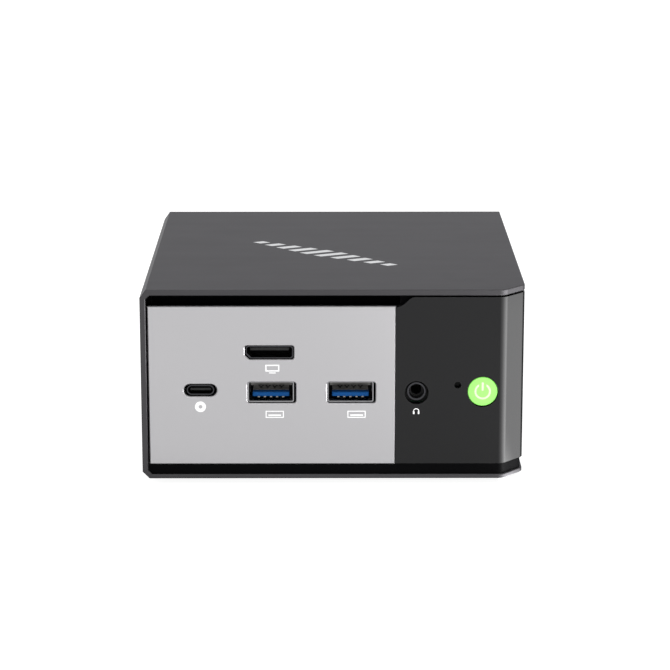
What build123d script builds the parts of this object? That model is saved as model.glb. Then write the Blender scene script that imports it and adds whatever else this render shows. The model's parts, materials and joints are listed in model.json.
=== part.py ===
from build123d import *

import os
from math import cos, radians, sin

# Desktop mini computer. A folded metal shell (lid, left wall and base in one strip) wraps a plastic frame.
# The frame carries a metal front panel, a glossy corner cover with the side grille, and the rear panel.
# Inside are the main board with its sockets, memory and storage, a blower cooler and an intake fan.
# Millimetres. The origin is at the centre of the footprint, on the surface that the feet stand on.
# +X is to the right as seen from the front, +Y points to the rear, +Z points up.

# ---------------------------------------------------------------- driving dimensions
WIDTH = 126.0
DEPTH = 132.0
SHELL_HEIGHT = 64.0
FOOT_HEIGHT = 2.0
CUT_X, CUT_Y = 7.1, 8.0  # the corner taken off the plan at the front right
BEND = 3.2  # radius of the bends beside that cut corner
TOP_WALL, LEFT_WALL, BOTTOM_WALL = 2.0, 1.9, 1.4
FOLD, FOLD_INSIDE = 2.3, 1.3  # flats along the shell's two left folds
TOP_FOLD = (2.0, 2.8)  # the upper flat is taller than it is wide
EDGE = 0.25  # broken edges

PANEL_THICK = 2.0
PANEL_RECESS = 0.15
FRAME_WALL = 1.6
SKIRT_INSET = 0.75
BOARD_THICK = 1.6
BOARD_TOP = 27.6

# ---------------------------------------------------------------- places that follow from them
left, right = -WIDTH / 2, WIDTH / 2
front, rear = -DEPTH / 2, DEPTH / 2
base = FOOT_HEIGHT
lid_top = base + SHELL_HEIGHT
floor_z = base + BOTTOM_WALL
ceiling_z = lid_top - TOP_WALL
shell_inner_left = left + LEFT_WALL

panel_face = front + PANEL_RECESS
panel_back = panel_face + PANEL_THICK
rear_face = rear - PANEL_RECESS
rear_back = rear_face - PANEL_THICK
panel_left = left + 2.5
panel_split = 20.45  # where the metal panel meets the glossy cover
panel_low = base + 4.95
panel_high = base + 58.3
cover_high = base + 61.45

frame_inset = PANEL_RECESS + PANEL_THICK
inner_inset = frame_inset + FRAME_WALL
frame_left = shell_inner_left + 0.1
frame_inner_left = frame_left + FRAME_WALL
frame_floor = floor_z + 1.6
frame_back_of_front = front + inner_inset
frame_front_of_rear = rear - inner_inset
frame_inner_right = right - inner_inset

board_low = BOARD_TOP - BOARD_THICK
socket_z = base + 29.4  # centre height of the type A sockets

# Front sockets and controls, as (x, z) on the front face.
type_c_at = (-43.55, base + 30.1)
video_at = (-20.85, base + 42.85)
type_a_at = [(-20.45, socket_z), (5.7, socket_z)]
headset_at = (27.4, base + 29.3)
pinhole_at = (40.9, base + 31.85)
button_at = (49.1, base + 29.6)

# Sockets: outside width and height of each shell behind its opening.
TYPE_C_SHELL = (8.95, 3.25)
TYPE_A_SHELL = (15.1, 6.9)
VIDEO_SHELL = (15.5, 4.2)
LAN_SHELL = (16.0, 13.5)
video_leg = 0.55
daughter_top = video_at[1] - VIDEO_SHELL[1] / 2 - video_leg
DAUGHTER_THICK = 1.2

# Rear sockets, as (x, z).
rear_type_c_at = (-52.5, type_c_at[1])
rear_type_a_at = [(-37.2, socket_z), (-37.2, socket_z + 7.1)]
lan_at = [(-18.8, BOARD_TOP + LAN_SHELL[1] / 2), (-0.2, BOARD_TOP + LAN_SHELL[1] / 2)]
rear_video_at = [(x, BOARD_TOP + video_leg + VIDEO_SHELL[1] / 2) for x in (18.4, 37.0)]
dc_at = (51.8, BOARD_TOP + 6.0)
lock_slot_at = (-50.0, base + 50.0)
rear_screw_at = [(x, z) for x in (-55.5, 56.5) for z in (base + 9.5, base + 56.0)]

# Underside.
foot_at = (49.0, 52.0)
base_screw_at = (50.0, 34.0)
insert_at = (37.5, 37.5)  # a 75 mm square, as monitor plates have
standoff_at = [(-55.0, -56.0), (55.0, -56.0), (-54.0, 45.0), (54.0, 45.0)]

# Cooling. The blower blows through the fin stack and out of the rear panel.
blower_at = (20.0, 6.0)
blower_low, blower_high = 43.0, 57.5
exhaust_x, exhaust_width = 21.0, 60.0
exhaust_z = (blower_low + blower_high) / 2
intake_at = (0.0, 4.0)


# ---------------------------------------------------------------- shared planes and outlines
def facing_front(y):
    """A plane whose local x is +X and local y is +Z, extruding towards the front."""
    return Plane(origin=(0, y, 0), x_dir=(1, 0, 0), z_dir=(0, -1, 0))


def facing_rear(y):
    """A plane whose local x is +X and local y is -Z, extruding towards the rear."""
    return Plane(origin=(0, y, 0), x_dir=(1, 0, 0), z_dir=(0, 1, 0))


def facing_right(x):
    """A plane whose local x is +Y and local y is +Z, extruding towards +X."""
    return Plane(origin=(x, 0, 0), x_dir=(0, 1, 0), z_dir=(1, 0, 0))


def footprint(inset=0.0, left_edge=left):
    """The shell's plan with its cut corner, drawn in by inset at the front, right and rear."""
    with BuildSketch() as plan:
        with BuildLine():
            FilletPolyline(
                (left_edge - inset, front),
                (right - CUT_X, front),
                (right, front + CUT_Y),
                (right, rear),
                (left_edge - inset, rear),
                radius=(0, BEND, BEND, 0, 0),
                close=True,
            )
        make_face()
        if inset:
            offset(amount=-inset, mode=Mode.REPLACE)
    return plan.sketch


def side_slots(length, count, pitch, width=2.0, lean=20.0):
    """A row of leaning slots, centred on its origin, for the grilles."""
    with BuildSketch() as slots:
        with GridLocations(pitch, 1, count, 1):
            SlotOverall(length, width, rotation=90 - lean)
    return slots.sketch


def video_outline(width, height, cut=1.5, corner=0.8):
    """A display socket: a flat rectangle with its lower left corner cut off."""
    w, h = width / 2, height / 2
    with BuildSketch() as outline:
        with BuildLine():
            FilletPolyline(
                (-w + cut, -h), (w, -h), (w, h), (-w, h), (-w, -h + cut),
                radius=(corner / 2, corner, corner, corner, corner / 2),
                close=True,
            )
        make_face()
    return outline.sketch


# ---------------------------------------------------------------- outer shell
EMBLEM_CENTRE = (-3.0, -9.0)
EMBLEM_TURN = -40.0  # degrees from +X
EMBLEM_HEIGHTS = (3.5, 5.0, 6.5, 8.0, 9.5, 9.5, 8.0, 6.5, 5.0, 3.5)
EMBLEM_PITCH, EMBLEM_BAR, EMBLEM_LEAN = 6.4, 3.4, 28.0
EMBLEM_DEPTH = 0.3


def emblem_bars():
    """A plain row of leaning bars, tallest in the middle, set across the lid."""
    with BuildSketch() as bars:
        for n, height in enumerate(EMBLEM_HEIGHTS):
            along = (n - (len(EMBLEM_HEIGHTS) - 1) / 2) * EMBLEM_PITCH
            lean = height / 2 * sin(radians(EMBLEM_LEAN))
            half = EMBLEM_BAR / 2
            corners = [
                (along - half - lean, -height / 2),
                (along + half - lean, -height / 2),
                (along + half + lean, height / 2),
                (along - half + lean, height / 2),
            ]
            Polygon(*corners, align=None)
    return Rot(0, 0, EMBLEM_TURN) * bars.sketch


with BuildPart() as outer_shell:
    with BuildSketch(facing_front(front)):
        with BuildLine():
            Polyline(
                (left + FOLD, base), (right, base), (right, lid_top),
                (left + TOP_FOLD[0], lid_top), (left, lid_top - TOP_FOLD[1]), (left, base + FOLD),
                close=True,
            )
        make_face()
        with BuildLine():
            Polyline(
                (shell_inner_left + FOLD_INSIDE, floor_z), (right + 1, floor_z), (right + 1, ceiling_z),
                (shell_inner_left + FOLD_INSIDE, ceiling_z), (shell_inner_left, ceiling_z - FOLD_INSIDE),
                (shell_inner_left, floor_z + FOLD_INSIDE),
                close=True,
            )
        make_face(mode=Mode.SUBTRACT)
    extrude(amount=-DEPTH)
    with BuildSketch():
        add(footprint())
    extrude(amount=lid_top + 1, mode=Mode.INTERSECT)
    chamfer(outer_shell.faces().sort_by(Axis.Y)[0].edges(), EDGE)
    # grille in the left wall
    with BuildSketch(facing_right(left - 1)):
        with Locations((2.0, base + 33.0)):
            add(side_slots(length=36, count=20, pitch=5.0))
    extrude(amount=LEFT_WALL + 2, mode=Mode.SUBTRACT)
    # intake slots, screw seats and insert holes in the base
    with BuildSketch(Plane.XY.offset(base)):
        with Locations(intake_at):
            with GridLocations(1, 5.0, 1, 9):
                SlotOverall(42, 2.6)
        with GridLocations(2 * insert_at[0], 2 * insert_at[1], 2, 2):
            Circle(3.0)
    extrude(amount=BOTTOM_WALL, mode=Mode.SUBTRACT)
    with Locations(Location((0, 0, base), (180, 0, 0))):
        with GridLocations(2 * base_screw_at[0], 2 * base_screw_at[1], 2, 2):
            CounterSinkHole(radius=1.4, counter_sink_radius=2.7, depth=BOTTOM_WALL)
    # pocket for the emblem
    with BuildSketch(Plane.XY.offset(lid_top)):
        with Locations(EMBLEM_CENTRE):
            add(emblem_bars())
    extrude(amount=-EMBLEM_DEPTH, mode=Mode.SUBTRACT)

with BuildPart() as lid_emblem:
    with BuildSketch(Plane.XY.offset(lid_top)):
        with Locations(EMBLEM_CENTRE):
            add(emblem_bars())
    extrude(amount=-EMBLEM_DEPTH)

# ---------------------------------------------------------------- front panel
TYPE_C_CUT = (10.9, 4.25)
VIDEO_CUT = (16.15, 4.75)
TYPE_A_CUT = (16.0, 7.2)
# the sockets sit a little left of and above the middle of their openings
type_a_cut_at = [(x + 0.3, z - 0.1) for x, z in type_a_at]

with BuildPart() as front_panel:
    with BuildSketch(facing_front(panel_back)):
        with Locations(((panel_left + panel_split) / 2, (panel_low + panel_high) / 2)):
            Rectangle(panel_split - panel_left, panel_high - panel_low)
        with Locations(type_c_at):
            SlotOverall(*TYPE_C_CUT, mode=Mode.SUBTRACT)
        with Locations(video_at):
            add(video_outline(*VIDEO_CUT), mode=Mode.SUBTRACT)
        with Locations(*type_a_cut_at):
            RectangleRounded(*TYPE_A_CUT, 0.9, mode=Mode.SUBTRACT)
    extrude(amount=PANEL_THICK)
    chamfer(front_panel.faces().sort_by(Axis.Y)[0].edges(), 0.3)

# ---------------------------------------------------------------- glossy corner cover
HEADSET_CUT, PINHOLE_CUT, BUTTON_CUT = 3.95, 1.15, 5.18

with BuildPart() as corner_cover:
    with BuildSketch(Plane.XY.offset(panel_low)):
        # set back at the front only, level with the shell on the right
        add(Pos(PANEL_RECESS, 0, 0) * footprint(PANEL_RECESS))
        add(footprint(frame_inset), mode=Mode.SUBTRACT)
    extrude(amount=cover_high - panel_low)
    with BuildSketch(Plane.XY.offset(panel_low)):
        with Locations((panel_split + 0.05, front - 1)):
            Rectangle(WIDTH, rear_back - 0.05 - front + 1, align=Align.MIN)
    extrude(amount=SHELL_HEIGHT, mode=Mode.INTERSECT)
    # the cover's top edge steps down to the metal panel in an S-shaped sweep
    with BuildSketch(facing_front(panel_back + 0.5)):
        with BuildLine():
            Spline(
                (panel_split - 0.5, panel_high - 0.35), (panel_split + 3.2, panel_high + 1.2),
                (panel_split + 6.4, cover_high + 0.01),
                tangents=[(1, 0.1), (1, 0.05)],
            )
            Polyline(
                (panel_split + 6.4, cover_high + 0.01), (panel_split + 6.4, cover_high + 1),
                (panel_split - 0.5, cover_high + 1), (panel_split - 0.5, panel_high - 0.35),
            )
        make_face()
    extrude(amount=PANEL_THICK + 1, mode=Mode.SUBTRACT)
    with BuildSketch(facing_front(panel_back + 0.5)):
        with Locations(headset_at):
            Circle(HEADSET_CUT)
        with Locations(pinhole_at):
            Circle(PINHOLE_CUT)
        with Locations(button_at):
            Circle(BUTTON_CUT)
    extrude(amount=PANEL_THICK + 1, mode=Mode.SUBTRACT)
    with BuildSketch(facing_right(right - frame_inset - 1)):
        with Locations((4.0, base + 33.0)):
            add(side_slots(length=36, count=19, pitch=5.0))
    extrude(amount=PANEL_THICK + 2, mode=Mode.SUBTRACT)
    chamfer(corner_cover.faces().sort_by(Axis.Z)[0].edges(), EDGE)

# ---------------------------------------------------------------- inner frame
slot_right = 22.0
BAFFLE_GAP = 5.0

with BuildPart() as inner_frame:
    with BuildSketch(Plane.XY.offset(floor_z)):
        add(footprint(frame_inset, frame_left))
        add(footprint(inner_inset, frame_inner_left), mode=Mode.SUBTRACT)
    extrude(amount=ceiling_z - floor_z)
    with BuildSketch(Plane.XY.offset(floor_z)):
        add(footprint(SKIRT_INSET, frame_left))
        add(footprint(inner_inset, frame_inner_left), mode=Mode.SUBTRACT)
    extrude(amount=panel_low - 0.05 - floor_z)
    # floor, open over the intake
    with BuildSketch(Plane.XY.offset(floor_z)):
        add(footprint(inner_inset - 0.5, frame_inner_left - 0.5))
        with Locations(intake_at):
            Circle(23.5, mode=Mode.SUBTRACT)
        with GridLocations(2 * insert_at[0], 2 * insert_at[1], 2, 2):
            Circle(3.0, mode=Mode.SUBTRACT)
        with GridLocations(2 * base_screw_at[0], 2 * base_screw_at[1], 2, 2):
            Circle(1.1, mode=Mode.SUBTRACT)
    extrude(amount=frame_floor - floor_z)
    # bosses for the base screws and the mounting inserts
    with BuildSketch(Plane.XY.offset(frame_floor)):
        with GridLocations(2 * base_screw_at[0], 2 * base_screw_at[1], 2, 2):
            Circle(3.2)
            Circle(1.1, mode=Mode.SUBTRACT)
        with GridLocations(2 * insert_at[0], 2 * insert_at[1], 2, 2):
            Circle(5.0)
            Circle(3.0, mode=Mode.SUBTRACT)
    extrude(amount=5.0)
    # the long vent between the lid and the metal panel
    with Locations(((frame_left + slot_right) / 2 - 1, front, panel_high + 3)):
        Box(slot_right - frame_left + 2, 12, 6.0, mode=Mode.SUBTRACT)
    # a baffle hangs behind the vent: air passes under it, and the inside stays out of sight
    baffle_low = panel_high - 2.6
    baffle_y = frame_back_of_front + BAFFLE_GAP
    with Locations((frame_inner_left - 0.5, baffle_y, baffle_low)):
        Box(slot_right + 2.5 - frame_inner_left, 1.5, ceiling_z - baffle_low, align=Align.MIN)
    with Locations((slot_right + 0.5, frame_back_of_front - 0.5, baffle_low)):
        Box(1.5, BAFFLE_GAP + 1.0, ceiling_z - baffle_low, align=Align.MIN)
    # windows for the front sockets and controls
    with BuildSketch(facing_front(frame_back_of_front + 0.5)):
        with Locations(type_c_at):
            Rectangle(10.4, 4.0)
        with Locations(video_at):
            Rectangle(VIDEO_SHELL[0] + 0.4, VIDEO_SHELL[1] + 0.4)
        with Locations(*type_a_cut_at):
            Rectangle(*TYPE_A_CUT)
        with Locations(headset_at):
            Rectangle(8.0, 8.0)
        with Locations(pinhole_at):
            Circle(1.3)
        with Locations(button_at):
            Circle(6.3)
    extrude(amount=4.0, mode=Mode.SUBTRACT)
    # open sides behind the two grilles, split by ribs
    with BuildSketch(facing_right(left)):
        with Locations((2.0, base + 33.0)):
            with GridLocations(34, 1, 3, 1):
                Rectangle(31, 40)
    extrude(amount=WIDTH, mode=Mode.SUBTRACT)
    # one opening for the rear sockets and one for the exhaust
    with BuildSketch(facing_rear(frame_front_of_rear - 0.5)):
        with Locations((0.5, -(BOARD_TOP + 6.9))):
            Rectangle(116, 15)
        with Locations((exhaust_x, -exhaust_z)):
            Rectangle(exhaust_width, blower_high - blower_low)
        with Locations((lock_slot_at[0], -lock_slot_at[1])):
            Rectangle(9, 5)
        with Locations(*[(x, -z) for x, z in rear_screw_at]):
            Circle(1.25)
    extrude(amount=FRAME_WALL + 1, mode=Mode.SUBTRACT)
    # the shell's two left folds cut the frame's long edges back
    with BuildSketch(facing_front(front)):
        with BuildLine():
            Polyline(
                (frame_left + FOLD_INSIDE, floor_z), (right, floor_z), (right, ceiling_z),
                (frame_left + FOLD_INSIDE, ceiling_z), (frame_left, ceiling_z - FOLD_INSIDE),
                (frame_left, floor_z + FOLD_INSIDE),
                close=True,
            )
        make_face()
    extrude(amount=-DEPTH, mode=Mode.INTERSECT)

# ---------------------------------------------------------------- rear panel
with BuildPart() as rear_panel:
    with BuildSketch(facing_rear(rear_back)):
        middle = ((panel_left + right - PANEL_RECESS) / 2, -(panel_low + cover_high) / 2)
        with Locations(middle):
            Rectangle(right - PANEL_RECESS - panel_left, cover_high - panel_low)
        with Locations((rear_type_c_at[0], -rear_type_c_at[1])):
            SlotOverall(10.0, 4.2, mode=Mode.SUBTRACT)
        with Locations((rear_type_a_at[0][0], -(rear_type_a_at[0][1] + rear_type_a_at[1][1]) / 2)):
            RectangleRounded(16.0, 14.6, 0.9, mode=Mode.SUBTRACT)
        with Locations(*[(x, -z) for x, z in lan_at]):
            RectangleRounded(LAN_SHELL[0] + 0.4, LAN_SHELL[1] + 0.4, 0.5, mode=Mode.SUBTRACT)
        with Locations(*[(x, -z) for x, z in rear_video_at]):
            add(Rot(0, 0, 180) * video_outline(*VIDEO_CUT), mode=Mode.SUBTRACT)
        with Locations((dc_at[0], -dc_at[1])):
            Circle(4.2, mode=Mode.SUBTRACT)
        with Locations((lock_slot_at[0], -lock_slot_at[1])):
            SlotOverall(7.0, 3.0, mode=Mode.SUBTRACT)
        with Locations((exhaust_x, -exhaust_z)):
            add(side_slots(length=14, count=14, pitch=4.0), mode=Mode.SUBTRACT)
    extrude(amount=PANEL_THICK)
    chamfer(rear_panel.edges().filter_by(Axis.Y).sort_by(Axis.X)[:2], 1.2)
    chamfer(rear_panel.faces().sort_by(Axis.Y)[-1].outer_wire().edges(), EDGE)
    with Locations(*[Location((x, rear_face, z), (-90, 0, 0)) for x, z in rear_screw_at]):
        CounterSinkHole(radius=1.4, counter_sink_radius=2.8, depth=PANEL_THICK)

# ---------------------------------------------------------------- filters behind the two grilles
FILTER = (102.0, 42.0)  # along the depth, then the height
FILTER_THICK = 0.4

with BuildPart() as dust_filters:
    for inner_face in (frame_inner_left, frame_inner_right - FILTER_THICK):
        with BuildSketch(facing_right(inner_face)):
            with Locations((2.0, base + 33.0)):
                Rectangle(*FILTER)
        extrude(amount=FILTER_THICK)

# ---------------------------------------------------------------- underside: feet, screws, threaded inserts
with BuildPart() as rubber_feet:
    with BuildSketch():
        with GridLocations(2 * foot_at[0], 2 * foot_at[1], 2, 2):
            Circle(6.0)
    extrude(amount=FOOT_HEIGHT)
    chamfer(rubber_feet.edges().filter_by_position(Axis.Z, -0.01, 0.01), 0.5)

with BuildPart() as countersunk_screw:
    # head upwards, its face at the origin
    with BuildSketch(Plane.XZ):
        with BuildLine():
            Polyline((0, 0), (2.45, 0), (2.45, -0.1), (1.05, -1.25), (0, -1.25), close=True)
        make_face()
    revolve(axis=Axis.Z)
    with Locations((0, 0, -1.2)):
        Cylinder(1.05, 6.0, align=(Align.CENTER, Align.CENTER, Align.MAX))
    with BuildSketch(Plane.XY):
        Rectangle(2.4, 0.6)
        Rectangle(0.6, 2.4)
    extrude(amount=-0.9, mode=Mode.SUBTRACT)

with BuildPart() as base_screws:
    with Locations(*[
        Location((x, y, base + 0.1), (180, 0, 0))
        for x in (-base_screw_at[0], base_screw_at[0])
        for y in (-base_screw_at[1], base_screw_at[1])
    ]):
        add(countersunk_screw.part)

with BuildPart() as rear_panel_screws:
    with Locations(*[Location((x, rear_face - 0.1, z), (-90, 0, 0)) for x, z in rear_screw_at]):
        add(countersunk_screw.part)

with BuildPart() as mounting_inserts:
    with BuildSketch(Plane.XY.offset(floor_z)):
        with GridLocations(2 * insert_at[0], 2 * insert_at[1], 2, 2):
            Circle(2.98)
            Circle(1.65, mode=Mode.SUBTRACT)
    extrude(amount=6.5)
    chamfer(mounting_inserts.edges().filter_by(GeomType.CIRCLE).sort_by(Axis.Z)[:4], 0.2)

# ---------------------------------------------------------------- main board
board_gap = 0.8
board_left = frame_inner_left + board_gap

with BuildPart() as motherboard:
    with BuildSketch(Plane.XY.offset(board_low)):
        add(footprint(inner_inset + board_gap, board_left))
        with Locations(*standoff_at):
            Circle(1.6, mode=Mode.SUBTRACT)
    extrude(amount=BOARD_THICK)

with BuildPart() as board_standoffs:
    with BuildSketch(Plane.XY.offset(frame_floor)):
        with Locations(*standoff_at):
            RegularPolygon(2.5, 6)
            Circle(1.25, mode=Mode.SUBTRACT)
    extrude(amount=board_low - frame_floor)

with BuildPart() as pan_screw:
    # head upwards, its underside at the origin
    Cylinder(2.3, 1.6, align=(Align.CENTER, Align.CENTER, Align.MIN))
    fillet(pan_screw.edges().filter_by_position(Axis.Z, 1.5, 1.7), 0.7)
    with BuildSketch(Plane.XY.offset(1.6)):
        Rectangle(2.4, 0.55)
        Rectangle(0.55, 2.4)
    extrude(amount=-0.9, mode=Mode.SUBTRACT)
    Cylinder(1.2, 5.0, align=(Align.CENTER, Align.CENTER, Align.MAX))

with BuildPart() as board_screws:
    with Locations(*[(x, y, BOARD_TOP) for x, y in standoff_at]):
        add(pan_screw.part)

# ---------------------------------------------------------------- sockets
# Each unit opens towards -Y with the centre of its mouth at the origin; legs reach down to the board.


def both_ends(front_at, rear_at, front_setback, rear_setback):
    """Places for a unit on the front (x, z) points and, turned round, on the rear ones."""
    places = [Location((x, panel_face + front_setback, z)) for x, z in front_at]
    places += [Location((x, rear_face - rear_setback, z), (0, 0, 180)) for x, z in rear_at]
    return places


into = Plane(origin=(0, 0, 0), x_dir=(-1, 0, 0), z_dir=(0, 1, 0))  # extrudes inwards from a mouth

TYPE_C_DEPTH = 9.0
type_c_leg = type_c_at[1] - TYPE_C_SHELL[1] / 2 - BOARD_TOP

with BuildPart() as type_c_shell:
    with BuildSketch(into):
        SlotOverall(*TYPE_C_SHELL)
    extrude(amount=TYPE_C_DEPTH)
    with BuildSketch(into):
        SlotOverall(TYPE_C_SHELL[0] - 0.6, TYPE_C_SHELL[1] - 0.6)
    extrude(amount=TYPE_C_DEPTH - 0.4, mode=Mode.SUBTRACT)
    with Locations((0, TYPE_C_DEPTH - 3.2, -TYPE_C_SHELL[1] / 2 + 0.6)):
        with GridLocations(TYPE_C_SHELL[0] - 0.9, 3.4, 2, 2):
            Box(0.5, 1.2, type_c_leg + 0.6, align=(Align.CENTER, Align.CENTER, Align.MAX))

with BuildPart() as type_c_tongue:
    with Locations((0, 1.2, 0)):
        Box(6.7, TYPE_C_DEPTH - 2.0, 0.7, align=(Align.CENTER, Align.MIN, Align.CENTER))
    with BuildSketch(into.offset(TYPE_C_DEPTH - 3.0)):
        SlotOverall(TYPE_C_SHELL[0] - 0.7, TYPE_C_SHELL[1] - 0.7)
    extrude(amount=2.4)

type_c_places = both_ends([type_c_at], [rear_type_c_at], 0.9, 0.5)
with BuildPart() as type_c_shells:
    with Locations(*type_c_places):
        add(type_c_shell.part)
with BuildPart() as type_c_tongues:
    with Locations(*type_c_places):
        add(type_c_tongue.part)

TYPE_A_DEPTH = 14.0
type_a_leg = socket_z - TYPE_A_SHELL[1] / 2 - BOARD_TOP

with BuildPart() as type_a_shell:
    with BuildSketch(into):
        RectangleRounded(*TYPE_A_SHELL, 0.6)
    extrude(amount=TYPE_A_DEPTH)
    with BuildSketch(into):
        RectangleRounded(TYPE_A_SHELL[0] - 0.6, TYPE_A_SHELL[1] - 0.6, 0.4)
    extrude(amount=TYPE_A_DEPTH - 0.4, mode=Mode.SUBTRACT)
    # spring windows in the roof and floor
    with Locations((0, 5.5, 0)):
        with GridLocations(6.0, 1, 2, 1):
            Box(1.8, 5.0, 8.0, mode=Mode.SUBTRACT)
    with Locations((0, TYPE_A_DEPTH - 5.5, -TYPE_A_SHELL[1] / 2 + 0.3)):
        with GridLocations(TYPE_A_SHELL[0] - 0.9, 7.0, 2, 2):
            Box(0.6, 1.5, type_a_leg + 0.3, align=(Align.CENTER, Align.CENTER, Align.MAX))

TONGUE_DROP = 1.25  # the type A tongue lies below the middle of its mouth
TONGUE_THICK = 1.4
with BuildPart() as type_a_tongue:
    with Locations((0, 1.4, -TONGUE_DROP)):
        Box(12.0, TYPE_A_DEPTH - 2.6, TONGUE_THICK, align=(Align.CENTER, Align.MIN, Align.CENTER))
    chamfer(type_a_tongue.faces().sort_by(Axis.Y)[0].edges(), 0.2)
    with Locations((0, TYPE_A_DEPTH - 4.5, 0)):
        Box(14.0, 3.9, 5.8, align=(Align.CENTER, Align.MIN, Align.CENTER))

with BuildPart() as type_a_contact_set:
    # four spring contacts far back on the tongue, five pins under its front edge
    with Locations((0, 5.2, -TONGUE_DROP + TONGUE_THICK / 2)):
        with GridLocations(2.25, 1, 4, 1):
            Box(0.9, TYPE_A_DEPTH - 9.8, 0.14, align=(Align.CENTER, Align.MIN, Align.MIN))
    with Locations((0, 1.7, -TONGUE_DROP - TONGUE_THICK / 2)):
        with GridLocations(2.0, 1, 5, 1):
            Box(0.7, 2.6, 0.4, align=(Align.CENTER, Align.MIN, Align.MAX))

type_a_places = both_ends(type_a_at, rear_type_a_at, 1.2, 0.3)
with BuildPart() as type_a_shells:
    with Locations(*type_a_places):
        add(type_a_shell.part)
with BuildPart() as type_a_tongues:
    with Locations(*type_a_places):
        add(type_a_tongue.part)
with BuildPart() as type_a_contacts:
    with Locations(*type_a_places):
        add(type_a_contact_set.part)

VIDEO_DEPTH = 15.0
with BuildPart() as video_socket_shell:
    with BuildSketch(into):
        add(Rot(0, 180, 0) * video_outline(*VIDEO_SHELL))
    extrude(amount=VIDEO_DEPTH)
    with BuildSketch(into):
        add(Rot(0, 180, 0) * video_outline(VIDEO_SHELL[0] - 0.6, VIDEO_SHELL[1] - 0.6))
    extrude(amount=VIDEO_DEPTH - 0.4, mode=Mode.SUBTRACT)
    with Locations((0.6, VIDEO_DEPTH - 6.0, -VIDEO_SHELL[1] / 2 + 0.3)):
        with GridLocations(VIDEO_SHELL[0] - 4.0, 7.0, 2, 2):
            Box(0.6, 1.5, video_leg + 0.3, align=(Align.CENTER, Align.CENTER, Align.MAX))

with BuildPart() as video_tongue:
    with Locations((0, 1.8, 0.65)):
        Box(12.6, VIDEO_DEPTH - 3.0, 0.9, align=(Align.CENTER, Align.MIN, Align.CENTER))
    with Locations((0.4, VIDEO_DEPTH - 5.0, 0)):
        Box(12.6, 4.4, 3.4, align=(Align.CENTER, Align.MIN, Align.CENTER))

video_places = both_ends([video_at], rear_video_at, 1.0, 1.0)
with BuildPart() as video_socket_shells:
    with Locations(*video_places):
        add(video_socket_shell.part)
with BuildPart() as video_socket_tongues:
    with Locations(*video_places):
        add(video_tongue.part)

LAN_DEPTH = 21.0
LAN_MOUTH = (11.8, 7.4)
with BuildPart() as lan_sockets:
    with BuildSketch(facing_rear(rear_face - 0.1)):
        with Locations(*[(x, -z) for x, z in lan_at]):
            Rectangle(*LAN_SHELL)
    extrude(amount=-LAN_DEPTH)
    with BuildSketch(facing_rear(rear_face - 0.1)):
        with Locations(*[(x, -z - 0.4) for x, z in lan_at]):
            Rectangle(*LAN_MOUTH)
        with Locations(*[(x, -z + 3.9) for x, z in lan_at]):
            Rectangle(6.0, 3.0)
        with Locations(*[(x, -z + 5.4) for x, z in lan_at]):
            Rectangle(3.4, 1.6)
    extrude(amount=-14.0, mode=Mode.SUBTRACT)

with BuildPart() as lan_contacts:
    with Locations(*[(x, rear_face - 13.9, z + 3.2) for x, z in lan_at]):
        with GridLocations(1.02, 1, 8, 1):
            Box(0.4, 9.0, 0.4, align=(Align.CENTER, Align.MIN, Align.CENTER), rotation=(-14, 0, 0))

with BuildPart() as dc_inlet:
    with Locations((dc_at[0], rear_back - 12.0, BOARD_TOP)):
        Box(10.5, 12.0, 11.0, align=(Align.CENTER, Align.MIN, Align.MIN))
    with BuildSketch(facing_rear(rear_back)):
        with Locations((dc_at[0], -dc_at[1])):
            Circle(4.0)
    extrude(amount=PANEL_THICK - 0.2)
    with BuildSketch(facing_rear(rear_face - 0.2)):
        with Locations((dc_at[0], -dc_at[1])):
            Circle(3.15)
    extrude(amount=-9.5, mode=Mode.SUBTRACT)

with BuildPart() as dc_inlet_pin:
    with BuildSketch(facing_rear(rear_face - 9.7)):
        with Locations((dc_at[0], -dc_at[1])):
            Circle(1.25)
    extrude(amount=8.6)
    fillet(dc_inlet_pin.faces().sort_by(Axis.Y)[-1].edges(), 0.6)

HEADSET_BORE = 1.8
HEADSET_MOUTH = 2.4
headset_front = panel_back + 1.6
with BuildPart() as headset_socket:
    with BuildSketch(facing_front(panel_back + 14.0)):
        with Locations(headset_at):
            Rectangle(7.4, 7.4)
    extrude(amount=panel_back + 14.0 - headset_front)
    with Locations((headset_at[0], panel_back + 9.0, BOARD_TOP)):
        Box(7.4, 10.0, 1.5, align=(Align.CENTER, Align.CENTER, Align.MIN))
    with BuildSketch(facing_front(headset_front)):
        with Locations(headset_at):
            Circle(HEADSET_BORE)
    extrude(amount=-11.7, mode=Mode.SUBTRACT)
    with BuildSketch(facing_front(headset_front)):
        with Locations(headset_at):
            Circle(HEADSET_MOUTH)
    extrude(amount=-1.5, mode=Mode.SUBTRACT)

# a collar that reaches forward into the cover's hole
with BuildPart() as headset_socket_ring:
    with BuildSketch(facing_front(headset_front)):
        with Locations(headset_at):
            Circle(3.15)
            Circle(HEADSET_MOUTH, mode=Mode.SUBTRACT)
    extrude(amount=headset_front - panel_back + 0.15)
    chamfer(headset_socket_ring.faces().sort_by(Axis.Y)[0].edges(), 0.12)

# ---------------------------------------------------------------- button, switches
BUTTON_SUNK = 0.4  # behind the cover's face
BUTTON_RADIUS = 4.88
BUTTON_TRAVEL = 0.4
SYMBOL_DEPTH = 0.25
button_face = panel_face + BUTTON_SUNK
switch_front = frame_back_of_front + 1.0
PLUNGER_RADIUS = 1.0


def power_mark():
    """The generic on/off mark: an open ring with a bar in the gap."""
    with BuildSketch() as mark:
        Circle(2.7)
        Circle(2.05, mode=Mode.SUBTRACT)
        with Locations((0, 2.4)):
            Rectangle(2.4, 2.2, mode=Mode.SUBTRACT)
        with Locations((0, 1.7)):
            SlotOverall(2.9, 0.7, rotation=90)
    return mark.sketch


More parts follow.
